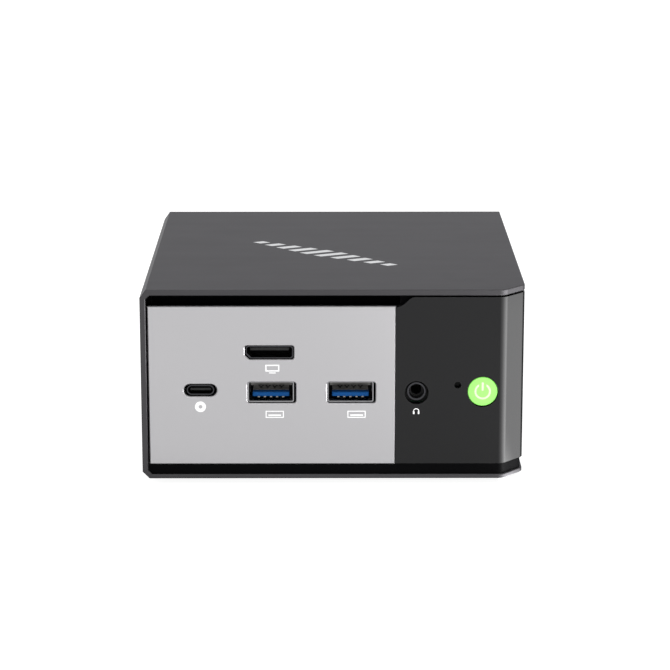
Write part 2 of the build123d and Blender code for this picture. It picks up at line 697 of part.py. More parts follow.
with BuildPart() as power_button:
    with BuildSketch(facing_front(panel_back + 0.3)):
        with Locations(button_at):
            Circle(BUTTON_RADIUS)
    extrude(amount=panel_back + 0.3 - button_face)
    fillet(power_button.faces().sort_by(Axis.Y)[0].edges(), 0.3)
    with BuildSketch(facing_front(panel_back + 1.1)):
        with Locations(button_at):
            Circle(5.95)
    extrude(amount=0.8)
    with BuildSketch(facing_front(switch_front - 0.6)):
        with Locations(button_at):
            Circle(1.6)
    extrude(amount=switch_front - 0.6 - panel_back - 1.0)
    with BuildSketch(facing_front(button_face)):
        with Locations(button_at):
            add(power_mark())
    extrude(amount=-SYMBOL_DEPTH, mode=Mode.SUBTRACT)

with BuildPart() as power_symbol:
    with BuildSketch(facing_front(button_face)):
        with Locations(button_at):
            add(power_mark())
    extrude(amount=-SYMBOL_DEPTH)

with BuildPart() as switch_body:
    # stands on the board; its plunger bore is level with the origin, which is the middle of its front
    Box(6.2, 4.0, 6.0, align=(Align.CENTER, Align.MIN, Align.CENTER))
    with BuildSketch(into):
        Circle(PLUNGER_RADIUS + 0.06)
    extrude(amount=2.4, mode=Mode.SUBTRACT)

with BuildPart() as switch_bodies:
    for x, z in (pinhole_at, button_at):
        with Locations((x, switch_front, z)):
            add(switch_body.part)
        with Locations((x, switch_front, BOARD_TOP)):
            Box(6.2, 4.0, z - 2.9 - BOARD_TOP, align=(Align.CENTER, Align.MIN, Align.MIN))

with BuildPart() as power_switch_plunger:
    with BuildSketch(facing_front(switch_front + 1.6)):
        with Locations(button_at):
            Circle(PLUNGER_RADIUS)
    extrude(amount=1.6 + 0.6)

with BuildPart() as reset_switch_plunger:
    with BuildSketch(facing_front(switch_front + 1.6)):
        with Locations(pinhole_at):
            Circle(PLUNGER_RADIUS)
    extrude(amount=1.6 + 1.4)

# ---------------------------------------------------------------- daughterboard under the front display socket
with BuildPart() as daughterboard:
    with Locations((video_at[0], frame_back_of_front + 0.6, daughter_top)):
        Box(28, 28, DAUGHTER_THICK, align=(Align.CENTER, Align.MIN, Align.MAX))

with BuildPart() as board_link:
    with Locations((video_at[0], -40.0, BOARD_TOP)):
        Box(22, 5, daughter_top - DAUGHTER_THICK - BOARD_TOP, align=(Align.CENTER, Align.CENTER, Align.MIN))

# ---------------------------------------------------------------- processor and power stages
PROCESSOR_AT = (4.0, 2.0)
SUBSTRATE_THICK, DIE_THICK, PLATE_THICK = 1.2, 0.8, 2.0
die_top = BOARD_TOP + SUBSTRATE_THICK + DIE_THICK
plate_top = die_top + PLATE_THICK

with BuildPart() as processor:
    with Locations((*PROCESSOR_AT, BOARD_TOP)):
        Box(40, 35, SUBSTRATE_THICK, align=(Align.CENTER, Align.CENTER, Align.MIN))
    with Locations((*PROCESSOR_AT, BOARD_TOP + SUBSTRATE_THICK)):
        Box(22, 12, DIE_THICK, align=(Align.CENTER, Align.CENTER, Align.MIN))

with BuildPart() as cold_plate:
    with Locations((*PROCESSOR_AT, die_top)):
        Box(46, 46, PLATE_THICK, align=(Align.CENTER, Align.CENTER, Align.MIN))
    chamfer(cold_plate.edges().filter_by(Axis.Z), 3)

with BuildPart() as power_inductors:
    with Locations((37.0, 0, BOARD_TOP)):
        with GridLocations(1, 8.2, 1, 5):
            Box(7.0, 7.0, 4.2, align=(Align.CENTER, Align.CENTER, Align.MIN))
    fillet(power_inductors.edges().filter_by(Axis.Z), 0.8)

with BuildPart() as board_chips:
    for x, y, width, depth, height in (
        (-26.0, -26.0, 12.0, 12.0, 1.2), (-26.0, 34.0, 9.0, 9.0, 1.0), (4.0, 37.0, 9.0, 9.0, 1.0),
        (34.0, -36.0, 7.0, 7.0, 0.9), (18.0, -44.0, 6.0, 5.0, 0.9), (-46.0, -44.0, 7.0, 7.0, 0.9),
    ):
        with Locations((x, y, BOARD_TOP)):
            Box(width, depth, height, align=(Align.CENTER, Align.CENTER, Align.MIN))

# ---------------------------------------------------------------- cooler
PIPE_RADIUS = 2.5
PIPE_BEND = 9.0
pipe_z = plate_top + PIPE_RADIUS
FIN_STACK_Y = (48.0, 61.9)
pipe_high = exhaust_z

pipe_runs = [
    [(22.0, -5.0), (-34.0, -5.0), (-34.0, 58.3)],
    [(22.0, 6.5), (-27.0, 6.5), (-27.0, 51.6)],
]

with BuildPart() as heat_pipes:
    for (x0, y0), (x1, y1), (x2, y2) in pipe_runs:
        with BuildLine() as path:
            FilletPolyline(
                (x0, y0, pipe_z), (x1, y1, pipe_z), (x2, y2, pipe_high),
                (exhaust_x + exhaust_width / 2 - 1, y2, pipe_high),
                radius=PIPE_BEND,
            )
        with BuildSketch(Plane(origin=(x0, y0, pipe_z), z_dir=(-1, 0, 0))):
            Circle(PIPE_RADIUS)
        sweep(path=path.line)

FIN_COUNT, FIN_THICK = 28, 0.35
fin_pitch = (exhaust_width - FIN_THICK) / (FIN_COUNT - 1)
with BuildPart() as fin_stack:
    with Locations((exhaust_x, sum(FIN_STACK_Y) / 2, exhaust_z)):
        with GridLocations(fin_pitch, 1, FIN_COUNT, 1):
            Box(FIN_THICK, FIN_STACK_Y[1] - FIN_STACK_Y[0], 14.0)
    for z in (exhaust_z - 7.0, exhaust_z + 6.6):
        with Locations((exhaust_x, sum(FIN_STACK_Y) / 2, z)):
            Box(
                exhaust_width, FIN_STACK_Y[1] - FIN_STACK_Y[0], 0.4,
                align=(Align.CENTER, Align.CENTER, Align.MIN),
            )
    for run in pipe_runs:
        with Locations(Location((exhaust_x, run[2][1], exhaust_z), (0, 90, 0))):
            Cylinder(PIPE_RADIUS + 0.02, exhaust_width + 4, mode=Mode.SUBTRACT)

# ---------------------------------------------------------------- blower
BLOWER_WALL = 1.4
blower_left, blower_right = -17.0, 55.5
blower_front, blower_rear = -31.0, FIN_STACK_Y[0] - 0.4
ROTOR_RADIUS, HUB_RADIUS, SHAFT_RADIUS = 27.0, 13.0, 1.5
BEARING_GAP = 0.06


def blower_plan(inset=0.0):
    """The blower's outline, wide and square at the outlet and round at the front."""
    with BuildSketch() as plan:
        with BuildLine():
            FilletPolyline(
                (blower_left, blower_rear), (blower_left, blower_front), (blower_right, blower_front),
                (blower_right, blower_rear),
                radius=(0, 30, 30, 0),
                close=True,
            )
        make_face()
        if inset:
            offset(amount=-inset, mode=Mode.REPLACE)
    return plan.sketch


with BuildPart() as blower_housing:
    with BuildSketch(Plane.XY.offset(blower_low)):
        add(blower_plan())
    extrude(amount=blower_high - blower_low - 1.0)
    with BuildSketch(Plane.XY.offset(blower_low + BLOWER_WALL)):
        add(blower_plan(BLOWER_WALL))
        with Locations((exhaust_x, blower_rear)):
            Rectangle(exhaust_width, 6)
    extrude(amount=blower_high - blower_low, mode=Mode.SUBTRACT)
    # bearing tube
    with BuildSketch(Plane.XY.offset(blower_low + BLOWER_WALL)):
        with Locations(blower_at):
            Circle(3.2)
            Circle(SHAFT_RADIUS + BEARING_GAP, mode=Mode.SUBTRACT)
    extrude(amount=8.0)
    # legs down to the board
    with BuildSketch(Plane.XY.offset(BOARD_TOP)):
        with Locations((blower_left + 3, 38.0), (blower_right - 3, 38.0), (3.0, -26.0), (36.0, -26.0)):
            Circle(2.6)
    extrude(amount=blower_low - BOARD_TOP)

with BuildPart() as blower_cover:
    with BuildSketch(Plane.XY.offset(blower_high - 1.0)):
        add(blower_plan())
        with Locations(blower_at):
            Circle(21.0, mode=Mode.SUBTRACT)
    extrude(amount=1.0)

def curved_blade(inner, outer, thick, sweep_back):
    """The plan of one blade, bowed back as it goes outwards."""
    with BuildSketch() as blade:
        with BuildLine() as spine:
            ThreePointArc(
                (inner, 0),
                ((inner + outer) / 2, -sweep_back * 0.35),
                (outer * cos(radians(sweep_back)), -outer * sin(radians(sweep_back))),
            )
        trace(line_width=thick)
    return blade.sketch


with BuildPart() as blower_rotor:
    hub_low = blower_low + BLOWER_WALL + 0.8
    hub_high = blower_high - 1.8
    with BuildSketch(Plane.XY.offset(hub_low)):
        with Locations(blower_at):
            Circle(HUB_RADIUS)
    extrude(amount=hub_high - hub_low)
    fillet(blower_rotor.edges().sort_by(Axis.Z)[-1:], 1.5)
    with BuildSketch(Plane.XY.offset(hub_low)):
        with Locations(blower_at):
            Circle(HUB_RADIUS - 1.6)
    extrude(amount=hub_high - hub_low - 1.4, mode=Mode.SUBTRACT)
    with BuildSketch(Plane.XY.offset(hub_low)):
        with Locations(blower_at):
            Circle(SHAFT_RADIUS)
    extrude(amount=hub_high - hub_low - 1.0)
    # blades on a thin back ring
    with BuildSketch(Plane.XY.offset(hub_low)):
        with Locations(blower_at):
            Circle(ROTOR_RADIUS)
            Circle(HUB_RADIUS - 0.4, mode=Mode.SUBTRACT)
    extrude(amount=0.8)
    with BuildSketch(Plane.XY.offset(hub_low)):
        with Locations(blower_at):
            with PolarLocations(0, 23):
                add(curved_blade(HUB_RADIUS - 0.4, ROTOR_RADIUS - 0.3, 0.8, 22))
    extrude(amount=hub_high - hub_low - 1.5)

# ---------------------------------------------------------------- intake fan over the base slots
FAN_SIZE, FAN_THICK, FAN_BORE = 50.0, 9.0, 23.5
fan_low = frame_floor

with BuildPart() as intake_fan_frame:
    with BuildSketch(Plane.XY.offset(fan_low)):
        with Locations(intake_at):
            RectangleRounded(FAN_SIZE, FAN_SIZE, 3.0)
            Circle(FAN_BORE, mode=Mode.SUBTRACT)
            with GridLocations(42, 42, 2, 2):
                Circle(1.8, mode=Mode.SUBTRACT)
    extrude(amount=FAN_THICK)
    # motor mount on four struts, at the top
    with BuildSketch(Plane.XY.offset(fan_low + FAN_THICK - 1.0)):
        with Locations(intake_at):
            Circle(11.0)
            with PolarLocations(17.0, 4, start_angle=45):
                Rectangle(16.0, 2.2)
    extrude(amount=1.0)
    with BuildSketch(Plane.XY.offset(fan_low + 2.4)):
        with Locations(intake_at):
            Circle(3.0)
            Circle(SHAFT_RADIUS + BEARING_GAP, mode=Mode.SUBTRACT)
    extrude(amount=FAN_THICK - 2.9)

with BuildPart() as intake_fan_rotor:
    cup_low, cup_high = fan_low + 0.6, fan_low + FAN_THICK - 1.6
    with BuildSketch(Plane.XY.offset(cup_low)):
        with Locations(intake_at):
            Circle(11.0)
    extrude(amount=cup_high - cup_low)
    fillet(intake_fan_rotor.edges().sort_by(Axis.Z)[:1], 0.8)
    with BuildSketch(Plane.XY.offset(cup_high)):
        with Locations(intake_at):
            Circle(9.4)
    extrude(amount=-(cup_high - cup_low - 1.2), mode=Mode.SUBTRACT)
    with BuildSketch(Plane.XY.offset(cup_low + 0.6)):
        with Locations(intake_at):
            Circle(SHAFT_RADIUS)
    extrude(amount=cup_high - cup_low - 1.0)
    for n in range(9):
        turn = Rot(0, 0, 40 * n)
        spine = turn * Location((10.4, 0, (cup_low + cup_high) / 2), (38, 0, 0))
        with Locations(Location((*intake_at, 0)) * spine):
            Box(12.3, 9.0, 0.9, align=(Align.MIN, Align.CENTER, Align.CENTER))
    with BuildSketch(Plane.XY.offset(cup_low)):
        with Locations(intake_at):
            Circle(FAN_BORE - 0.7)
    extrude(amount=cup_high - cup_low, mode=Mode.INTERSECT)

# ---------------------------------------------------------------- memory, storage, radio
MODULE_PLANE = 3.2  # how far the cards hang below the board
card_z = board_low - MODULE_PLANE

with BuildPart() as memory_sockets:
    for y, opens in ((-31.0, 1), (47.5, -1)):
        with Locations((0, y, board_low)):
            Box(71.0, 6.0, 5.2, align=(Align.CENTER, Align.CENTER, Align.MAX))
        with Locations((0, y + 3 * opens, card_z)):
            Box(67.9, 6.0, 1.2, mode=Mode.SUBTRACT)

memory_y = [(-31.0, 1), (47.5, -1)]
MEMORY = (67.6, 30.0)
with BuildPart() as memory_modules:
    for y, opens in memory_y:
        with Locations((0, y + opens * (MEMORY[1] / 2 + 0.2), card_z)):
            Box(*MEMORY, 1.0)

with BuildPart() as memory_chips:
    for y, opens in memory_y:
        with Locations((0, y + opens * 18.0, card_z - 0.5)):
            with GridLocations(15.5, 1, 4, 1):
                Box(11.0, 13.0, 1.0, align=(Align.CENTER, Align.CENTER, Align.MAX))

with BuildPart() as memory_clips:
    for y, opens in memory_y:
        with Locations((0, y + opens * 3.0, card_z - 0.9)):
            with GridLocations(69.4, 1, 2, 1):
                Box(0.8, 27.0 * 2, 2.4, align=(Align.CENTER, Align.CENTER, Align.MIN))
        with Locations((0, y - opens * 14.0, card_z)):
            Box(90.0, 34.0, 12.0, mode=Mode.SUBTRACT)
        with Locations((0, y + opens * 27.5, card_z - 0.9)):
            with GridLocations(68.4, 1, 2, 1):
                Box(2.8, 3.0, 0.4, align=(Align.CENTER, Align.CENTER, Align.MIN))

SSD = (22.0, 80.0)
ssd_x = 46.9
ssd_front = -46.0
with BuildPart() as ssd_sockets:
    with Locations((0, ssd_front - 3.0, board_low)):
        with GridLocations(2 * ssd_x, 1, 2, 1):
            Box(SSD[0], 8.0, 4.2, align=(Align.CENTER, Align.CENTER, Align.MAX))
    with Locations((0, ssd_front, card_z)):
        with GridLocations(2 * ssd_x, 1, 2, 1):
            Box(20.2, 6.0, 1.0, mode=Mode.SUBTRACT)

with BuildPart() as ssd_modules:
    with BuildSketch(Plane.XY.offset(card_z - 0.4)):
        with GridLocations(2 * ssd_x, 1, 2, 1):
            with Locations((0, ssd_front + SSD[1] / 2 - 1)):
                Rectangle(*SSD)
            with Locations((0, ssd_front - 1)):
                Rectangle(1.2, 7.0, mode=Mode.SUBTRACT)
                with Locations((-10.9, 0), (10.9, 0)):
                    Rectangle(2.2, 7.0, mode=Mode.SUBTRACT)
            with Locations((0, ssd_front + SSD[1] - 1)):
                Circle(1.75, mode=Mode.SUBTRACT)
    extrude(amount=0.8)

with BuildPart() as ssd_chips:
    with Locations((0, ssd_front, card_z - 0.4)):
        with GridLocations(2 * ssd_x, 1, 2, 1):
            with Locations((0, 14.0)):
                Box(13.0, 13.0, 1.1, align=(Align.CENTER, Align.CENTER, Align.MAX))
            with Locations((0, 34.0), (0, 55.0)):
                Box(14.0, 18.0, 1.1, align=(Align.CENTER, Align.CENTER, Align.MAX))

with BuildPart() as ssd_standoffs:
    with BuildSketch(Plane.XY.offset(board_low)):
        with GridLocations(2 * ssd_x, 1, 2, 1):
            with Locations((0, ssd_front + SSD[1] - 1)):
                Circle(2.9)
    extrude(amount=-(MODULE_PLANE - 0.4))

with BuildPart() as ssd_screws:
    with Locations((0, ssd_front + SSD[1] - 1, card_z - 0.4)):
        with GridLocations(2 * ssd_x, 1, 2, 1):
            Cylinder(2.6, 0.9, align=(Align.CENTER, Align.CENTER, Align.MAX))
            Cylinder(1.7, 0.8, align=(Align.CENTER, Align.CENTER, Align.MIN))
            Box(2.4, 0.5, 1.4, mode=Mode.SUBTRACT, align=(Align.CENTER, Align.CENTER, Align.CENTER))

WIRELESS_AT = (-46.5, -10.0)
with BuildPart() as wireless_socket:
    with Locations((WIRELESS_AT[0], WIRELESS_AT[1] - 17.0, BOARD_TOP)):
        Box(22.0, 8.0, 4.0, align=(Align.CENTER, Align.CENTER, Align.MIN))
    with Locations((WIRELESS_AT[0], WIRELESS_AT[1] - 13.5, BOARD_TOP + 2.6)):
        Box(20.4, 5.0, 1.0, mode=Mode.SUBTRACT)

with BuildPart() as wireless_card:
    with Locations((*WIRELESS_AT, BOARD_TOP + 2.6)):
        Box(20.2, 30.0, 0.8)
    with Locations((WIRELESS_AT[0], WIRELESS_AT[1] + 1.0, BOARD_TOP + 3.0)):
        Box(16.0, 18.0, 1.4, align=(Align.CENTER, Align.CENTER, Align.MIN))
    with Locations((WIRELESS_AT[0] - 5.0, 2.5, BOARD_TOP + 3.0), (WIRELESS_AT[0] + 5.0, 2.5, BOARD_TOP + 3.0)):
        Cylinder(1.3, 0.8, align=(Align.CENTER, Align.CENTER, Align.MIN))

antenna_y = (-39.0, 37.0)
antenna_z = ceiling_z - 4.4
ANTENNA = (0.8, 26.0, 7.0)
with BuildPart() as wireless_antennas:
    with Locations(*[(frame_inner_right, y, antenna_z) for y in antenna_y]):
        Box(*ANTENNA, align=(Align.MAX, Align.CENTER, Align.CENTER))

CABLE_RADIUS = 0.55
cable_end_x = frame_inner_right - ANTENNA[0]
plug_z = BOARD_TOP + 3.8
with BuildPart() as antenna_cables:
    for plug_x, low_z, run_y in ((WIRELESS_AT[0] - 5.0, 36.0, -50.0), (WIRELESS_AT[0] + 5.0, 40.0, 40.0)):
        with BuildLine() as path:
            FilletPolyline(
                (plug_x, 2.5, plug_z), (plug_x, 2.5, low_z), (plug_x, run_y, low_z),
                (plug_x, run_y, ceiling_z - 3), (cable_end_x, run_y, ceiling_z - 3),
                radius=2.0,
            )
        with BuildSketch(Plane(origin=(plug_x, 2.5, plug_z), z_dir=(0, 0, 1))):
            Circle(CABLE_RADIUS)
        sweep(path=path.line)

CELL_AT = (-46.0, 30.0)
with BuildPart() as coin_cell_holder:
    with Locations((*CELL_AT, BOARD_TOP)):
        Cylinder(11.6, 5.2, align=(Align.CENTER, Align.CENTER, Align.MIN))
    with Locations((*CELL_AT, BOARD_TOP + 1.0)):
        Cylinder(10.2, 5.2, align=(Align.CENTER, Align.CENTER, Align.MIN), mode=Mode.SUBTRACT)
        Box(9.0, 30.0, 6.0, align=(Align.CENTER, Align.CENTER, Align.MIN), mode=Mode.SUBTRACT)

with BuildPart() as coin_cell:
    with Locations((*CELL_AT, BOARD_TOP + 1.0)):
        Cylinder(10.0, 3.2, align=(Align.CENTER, Align.CENTER, Align.MIN))
    fillet(coin_cell.edges().filter_by(GeomType.CIRCLE), 0.4)

# ---------------------------------------------------------------- one file for each piece
pieces = dict(
    outer_shell=outer_shell, lid_emblem=lid_emblem, front_panel=front_panel, corner_cover=corner_cover,
    inner_frame=inner_frame, rear_panel=rear_panel, dust_filters=dust_filters, rubber_feet=rubber_feet, base_screws=base_screws,
    rear_panel_screws=rear_panel_screws, mounting_inserts=mounting_inserts, motherboard=motherboard,
    board_standoffs=board_standoffs, board_screws=board_screws, type_c_shells=type_c_shells,
    type_c_tongues=type_c_tongues, type_a_shells=type_a_shells, type_a_tongues=type_a_tongues,
    type_a_contacts=type_a_contacts, video_socket_shells=video_socket_shells,
    video_socket_tongues=video_socket_tongues, lan_sockets=lan_sockets, lan_contacts=lan_contacts,
    dc_inlet=dc_inlet, dc_inlet_pin=dc_inlet_pin, headset_socket=headset_socket,
    headset_socket_ring=headset_socket_ring, power_button=power_button, power_symbol=power_symbol,
    switch_bodies=switch_bodies, power_switch_plunger=power_switch_plunger,
    reset_switch_plunger=reset_switch_plunger, daughterboard=daughterboard, board_link=board_link,
    processor=processor, cold_plate=cold_plate, power_inductors=power_inductors,
    board_chips=board_chips, heat_pipes=heat_pipes, fin_stack=fin_stack,
    blower_housing=blower_housing, blower_cover=blower_cover, 
    blower_rotor=blower_rotor, intake_fan_frame=intake_fan_frame, 
    intake_fan_rotor=intake_fan_rotor, memory_sockets=memory_sockets, memory_modules=memory_modules,
    memory_chips=memory_chips, memory_clips=memory_clips, ssd_sockets=ssd_sockets,
    ssd_modules=ssd_modules, ssd_chips=ssd_chips, ssd_standoffs=ssd_standoffs, ssd_screws=ssd_screws,
    wireless_socket=wireless_socket, wireless_card=wireless_card, wireless_antennas=wireless_antennas,
    antenna_cables=antenna_cables, coin_cell_holder=coin_cell_holder, coin_cell=coin_cell,
)

os.makedirs("parts", exist_ok=True)
for label, piece in pieces.items():
    piece.part.label = label
    export_step(piece.part, f"parts/{label}.step")
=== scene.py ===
# %% [markdown]
# # A small desktop computer, finish by finish
# The real machine is a folded metal shell round a plastic frame, with a metal front panel, a glossy corner cover
# and a lit button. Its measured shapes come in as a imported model, one object for each real piece.
# This lesson gives each piece its finish, and adds the fine things that a solid model leaves plain:
# woven filters, printed marks, the insides of the sockets and the small parts on the board.

# %% Load the measured pieces
import json
from math import cos, pi, radians, sin

import bmesh
import bpy
from mathutils import Matrix, Vector


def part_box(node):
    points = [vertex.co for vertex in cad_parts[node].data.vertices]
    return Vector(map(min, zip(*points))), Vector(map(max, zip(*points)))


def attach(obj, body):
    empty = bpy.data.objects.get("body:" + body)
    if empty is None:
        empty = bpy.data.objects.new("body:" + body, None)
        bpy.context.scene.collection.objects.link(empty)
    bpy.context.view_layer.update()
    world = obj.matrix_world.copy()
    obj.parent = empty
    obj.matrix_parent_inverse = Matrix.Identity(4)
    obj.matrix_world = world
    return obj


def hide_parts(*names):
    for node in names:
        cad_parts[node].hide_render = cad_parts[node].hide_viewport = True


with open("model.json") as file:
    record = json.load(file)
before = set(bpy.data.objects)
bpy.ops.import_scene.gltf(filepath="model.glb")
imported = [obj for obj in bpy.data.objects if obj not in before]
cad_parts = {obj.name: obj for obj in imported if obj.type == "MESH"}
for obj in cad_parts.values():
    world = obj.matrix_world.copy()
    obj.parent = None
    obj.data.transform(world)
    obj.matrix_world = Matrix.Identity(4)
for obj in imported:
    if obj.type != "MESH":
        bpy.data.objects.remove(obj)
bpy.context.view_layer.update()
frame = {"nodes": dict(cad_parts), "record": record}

nodes = frame["nodes"]
MM = 0.001


# %% [markdown]
# ## The view and the room
# A product on a white sweep is lit by large soft sources, so metal shows broad, calm reflections.
# The camera stands well back with a long lens, a little above the lid, so the box keeps its true proportions.

# %% Camera
CAMERA_AT = (-0.00213, -0.85227, 0.24591)
CAMERA_DOWN, CAMERA_RIGHT = 13.93, 0.2  # degrees
CAMERA_LENS = 133.455  # millimetres, on a sensor 36 mm wide
scene = bpy.context.scene
camera_data = bpy.data.cameras.new("product_camera")
camera_data.lens = CAMERA_LENS
camera_data.sensor_width = 36.0
camera = bpy.data.objects.new("product_camera", camera_data)
camera.location = CAMERA_AT
camera.rotation_euler = (radians(90 - CAMERA_DOWN), 0, radians(-CAMERA_RIGHT))
scene.collection.objects.link(camera)
scene.camera = camera
scene.view_settings.view_transform = "Standard"
print("camera at", CAMERA_AT)


# %% [markdown]
# The room is an even pale surround. One wide soft panel hangs over the front. The rest of the light comes from
# the floor itself, a lit table that keeps the ground white and is brightest beyond the front right corner.

# %% Lights
def soft_light(name, at, aim, size, power):
    """A soft rectangular light that faces a point."""
    data = bpy.data.lights.new(name, "AREA")
    data.shape = "RECTANGLE"
    data.size, data.size_y = size
    data.energy = power
    light = bpy.data.objects.new(name, data)
    light.location = at
    light.rotation_euler = (Vector(aim) - Vector(at)).to_track_quat("-Z", "Y").to_euler()
    light.visible_camera = False
    scene.collection.objects.link(light)
    return light


BODY_MIDDLE = (0.0, 0.0, 0.03)
ROOM_STRENGTH = 1.04
soft_light("over_front", at=(0.10, -0.75, 0.95), aim=BODY_MIDDLE, size=(1.1, 0.8), power=1.6)

world = bpy.data.worlds.new("pale_room")
world.use_nodes = True
world.node_tree.nodes["Background"].inputs["Color"].default_value = (1, 1, 1, 1)
world.node_tree.nodes["Background"].inputs["Strength"].default_value = ROOM_STRENGTH
scene.world = world


# %% [markdown]
# ## Building blocks for finishes
# Every finish below is made of nodes. Three small helpers keep the cells short: one turns a screen colour
# into the linear value that shaders need, one adds a node, and one joins two of them.

# %% Helpers for node trees
def linear(r, g, b):
    """A colour given as 0 to 255 screen values, as a linear RGBA colour."""
    def one(v):
        v /= 255
        return v / 12.92 if v <= 0.04045 else ((v + 0.055) / 1.055) ** 2.4
    return (one(r), one(g), one(b), 1.0)


def add_node(tree, kind, settings=(), **inputs):
    """A new node with its settings and its unlinked input values."""
    new = tree.nodes.new(kind)
    for key, value in dict(settings).items():
        setattr(new, key, value)
    for key, value in inputs.items():
        new.inputs[key.replace("_", " ")].default_value = value
    return new


def join(tree, source, output, target, socket):
    tree.links.new(source.outputs[output], target.inputs[socket])


def start_group(name, inputs, outputs):
    """A shader node group with named float inputs and named float outputs."""
    group = bpy.data.node_groups.new(name, "ShaderNodeTree")
    for socket, value in inputs.items():
        group.interface.new_socket(name=socket, in_out="INPUT", socket_type="NodeSocketFloat").default_value = value
    for socket in outputs:
        group.interface.new_socket(name=socket, in_out="OUTPUT", socket_type="NodeSocketFloat")
    return group, group.nodes.new("NodeGroupInput"), group.nodes.new("NodeGroupOutput")


# %% [markdown]
# Metal blasted with fine beads, and plastic moulded in an etched tool, share one look: a dense field of tiny
# pits over a slow drift in tone. The group takes the sizes of both and puts out a height and a tone.

# %% Group: pitted grain
def make_pitted_grain():
    group, given, result = start_group(
        "pitted_grain", {"Pit Scale": 4000.0, "Drift Scale": 30.0}, ["Height", "Tone"]
    )
    where = add_node(group, "ShaderNodeTexCoord")
    pits = add_node(group, "ShaderNodeTexNoise", Detail=2.0, Roughness=0.6)
    cells = add_node(group, "ShaderNodeTexVoronoi", {"feature": "SMOOTH_F1"}, Smoothness=0.6)
    blend = add_node(group, "ShaderNodeMath", {"operation": "MULTIPLY"})
    drift = add_node(group, "ShaderNodeTexNoise", Detail=3.0, Roughness=0.5)
    for texture in (pits, cells, drift):
        join(group, where, "Object", texture, "Vector")
    join(group, given, "Pit Scale", pits, "Scale")
    join(group, given, "Pit Scale", cells, "Scale")
    join(group, given, "Drift Scale", drift, "Scale")
    group.links.new(pits.outputs["Fac"], blend.inputs[0])
    group.links.new(cells.outputs["Distance"], blend.inputs[1])
    group.links.new(blend.outputs[0], result.inputs["Height"])
    join(group, drift, "Fac", result, "Tone")
    return group


PITTED_GRAIN = make_pitted_grain()


# %% [markdown]
# Edges are where hands and desks touch first, so a coating thins and brightens there; the same brightening is also a
# painted highlight that stands in for light caught along edges and bends. A Bevel node looks round each corner, and
# where its normal leaves the true one there is an edge. Noise breaks the line up.

# %% Group: edge wear and painted edge highlight
def make_edge_wear_and_highlight():
    group, given, result = start_group("edge_wear_and_highlight", {"Width": 0.0003, "Breakup Scale": 700.0}, ["Mask"])
    where = add_node(group, "ShaderNodeTexCoord")
    true_normal = add_node(group, "ShaderNodeNewGeometry")
    rounded = add_node(group, "ShaderNodeBevel", {"samples": 4})
    agree = add_node(group, "ShaderNodeVectorMath", {"operation": "DOT_PRODUCT"})
    edge = add_node(group, "ShaderNodeMapRange", From_Min=0.999, From_Max=0.90, To_Min=0.0, To_Max=1.0)
    breakup = add_node(group, "ShaderNodeTexNoise", Detail=3.0)
    patchy = add_node(group, "ShaderNodeMapRange", From_Min=0.40, From_Max=0.62, To_Min=0.25, To_Max=1.0)
    both = add_node(group, "ShaderNodeMath", {"operation": "MULTIPLY"})
    join(group, given, "Width", rounded, "Radius")
    group.links.new(rounded.outputs["Normal"], agree.inputs[0])
    group.links.new(true_normal.outputs["Normal"], agree.inputs[1])
    join(group, agree, "Value", edge, "Value")
    join(group, where, "Object", breakup, "Vector")
    join(group, given, "Breakup Scale", breakup, "Scale")
    join(group, breakup, "Fac", patchy, "Value")
    group.links.new(edge.outputs["Result"], both.inputs[0])
    group.links.new(patchy.outputs["Result"], both.inputs[1])
    group.links.new(both.outputs[0], result.inputs["Mask"])
    return group


EDGE_WEAR_AND_HIGHLIGHT = make_edge_wear_and_highlight()


# %% [markdown]
# Even a new machine has been handled. Faint smudges change how sharp a reflection is far more than they change
# colour, so this group puts out one slow value that the finishes send mostly to roughness.

# %% Group: handling
def make_handling():
    group, given, result = start_group("handling", {"Smudge Scale": 60.0}, ["Value"])
    where = add_node(group, "ShaderNodeTexCoord")
    smudge = add_node(group, "ShaderNodeTexNoise", Detail=4.0, Distortion=0.8)
    wipe = add_node(group, "ShaderNodeTexNoise", Detail=2.0)
    stretch = add_node(group, "ShaderNodeMapping")
    stretch.inputs["Scale"].default_value = (0.25, 2.5, 1.0)
    mean = add_node(group, "ShaderNodeMath", {"operation": "MULTIPLY_ADD"})
    mean.inputs[1].default_value = 0.5
    half = add_node(group, "ShaderNodeMath", {"operation": "MULTIPLY"})
    half.inputs[1].default_value = 0.5
    join(group, where, "Object", smudge, "Vector")
    join(group, where, "Object", stretch, "Vector")
    join(group, stretch, "Vector", wipe, "Vector")
    join(group, given, "Smudge Scale", smudge, "Scale")
    join(group, given, "Smudge Scale", wipe, "Scale")
    group.links.new(wipe.outputs["Fac"], half.inputs[0])
    group.links.new(smudge.outputs["Fac"], mean.inputs[0])
    group.links.new(half.outputs[0], mean.inputs[2])
    group.links.new(mean.outputs[0], result.inputs["Value"])
    return group


HANDLING = make_handling()
print("groups:", PITTED_GRAIN.name, EDGE_WEAR_AND_HIGHLIGHT.name, HANDLING.name)
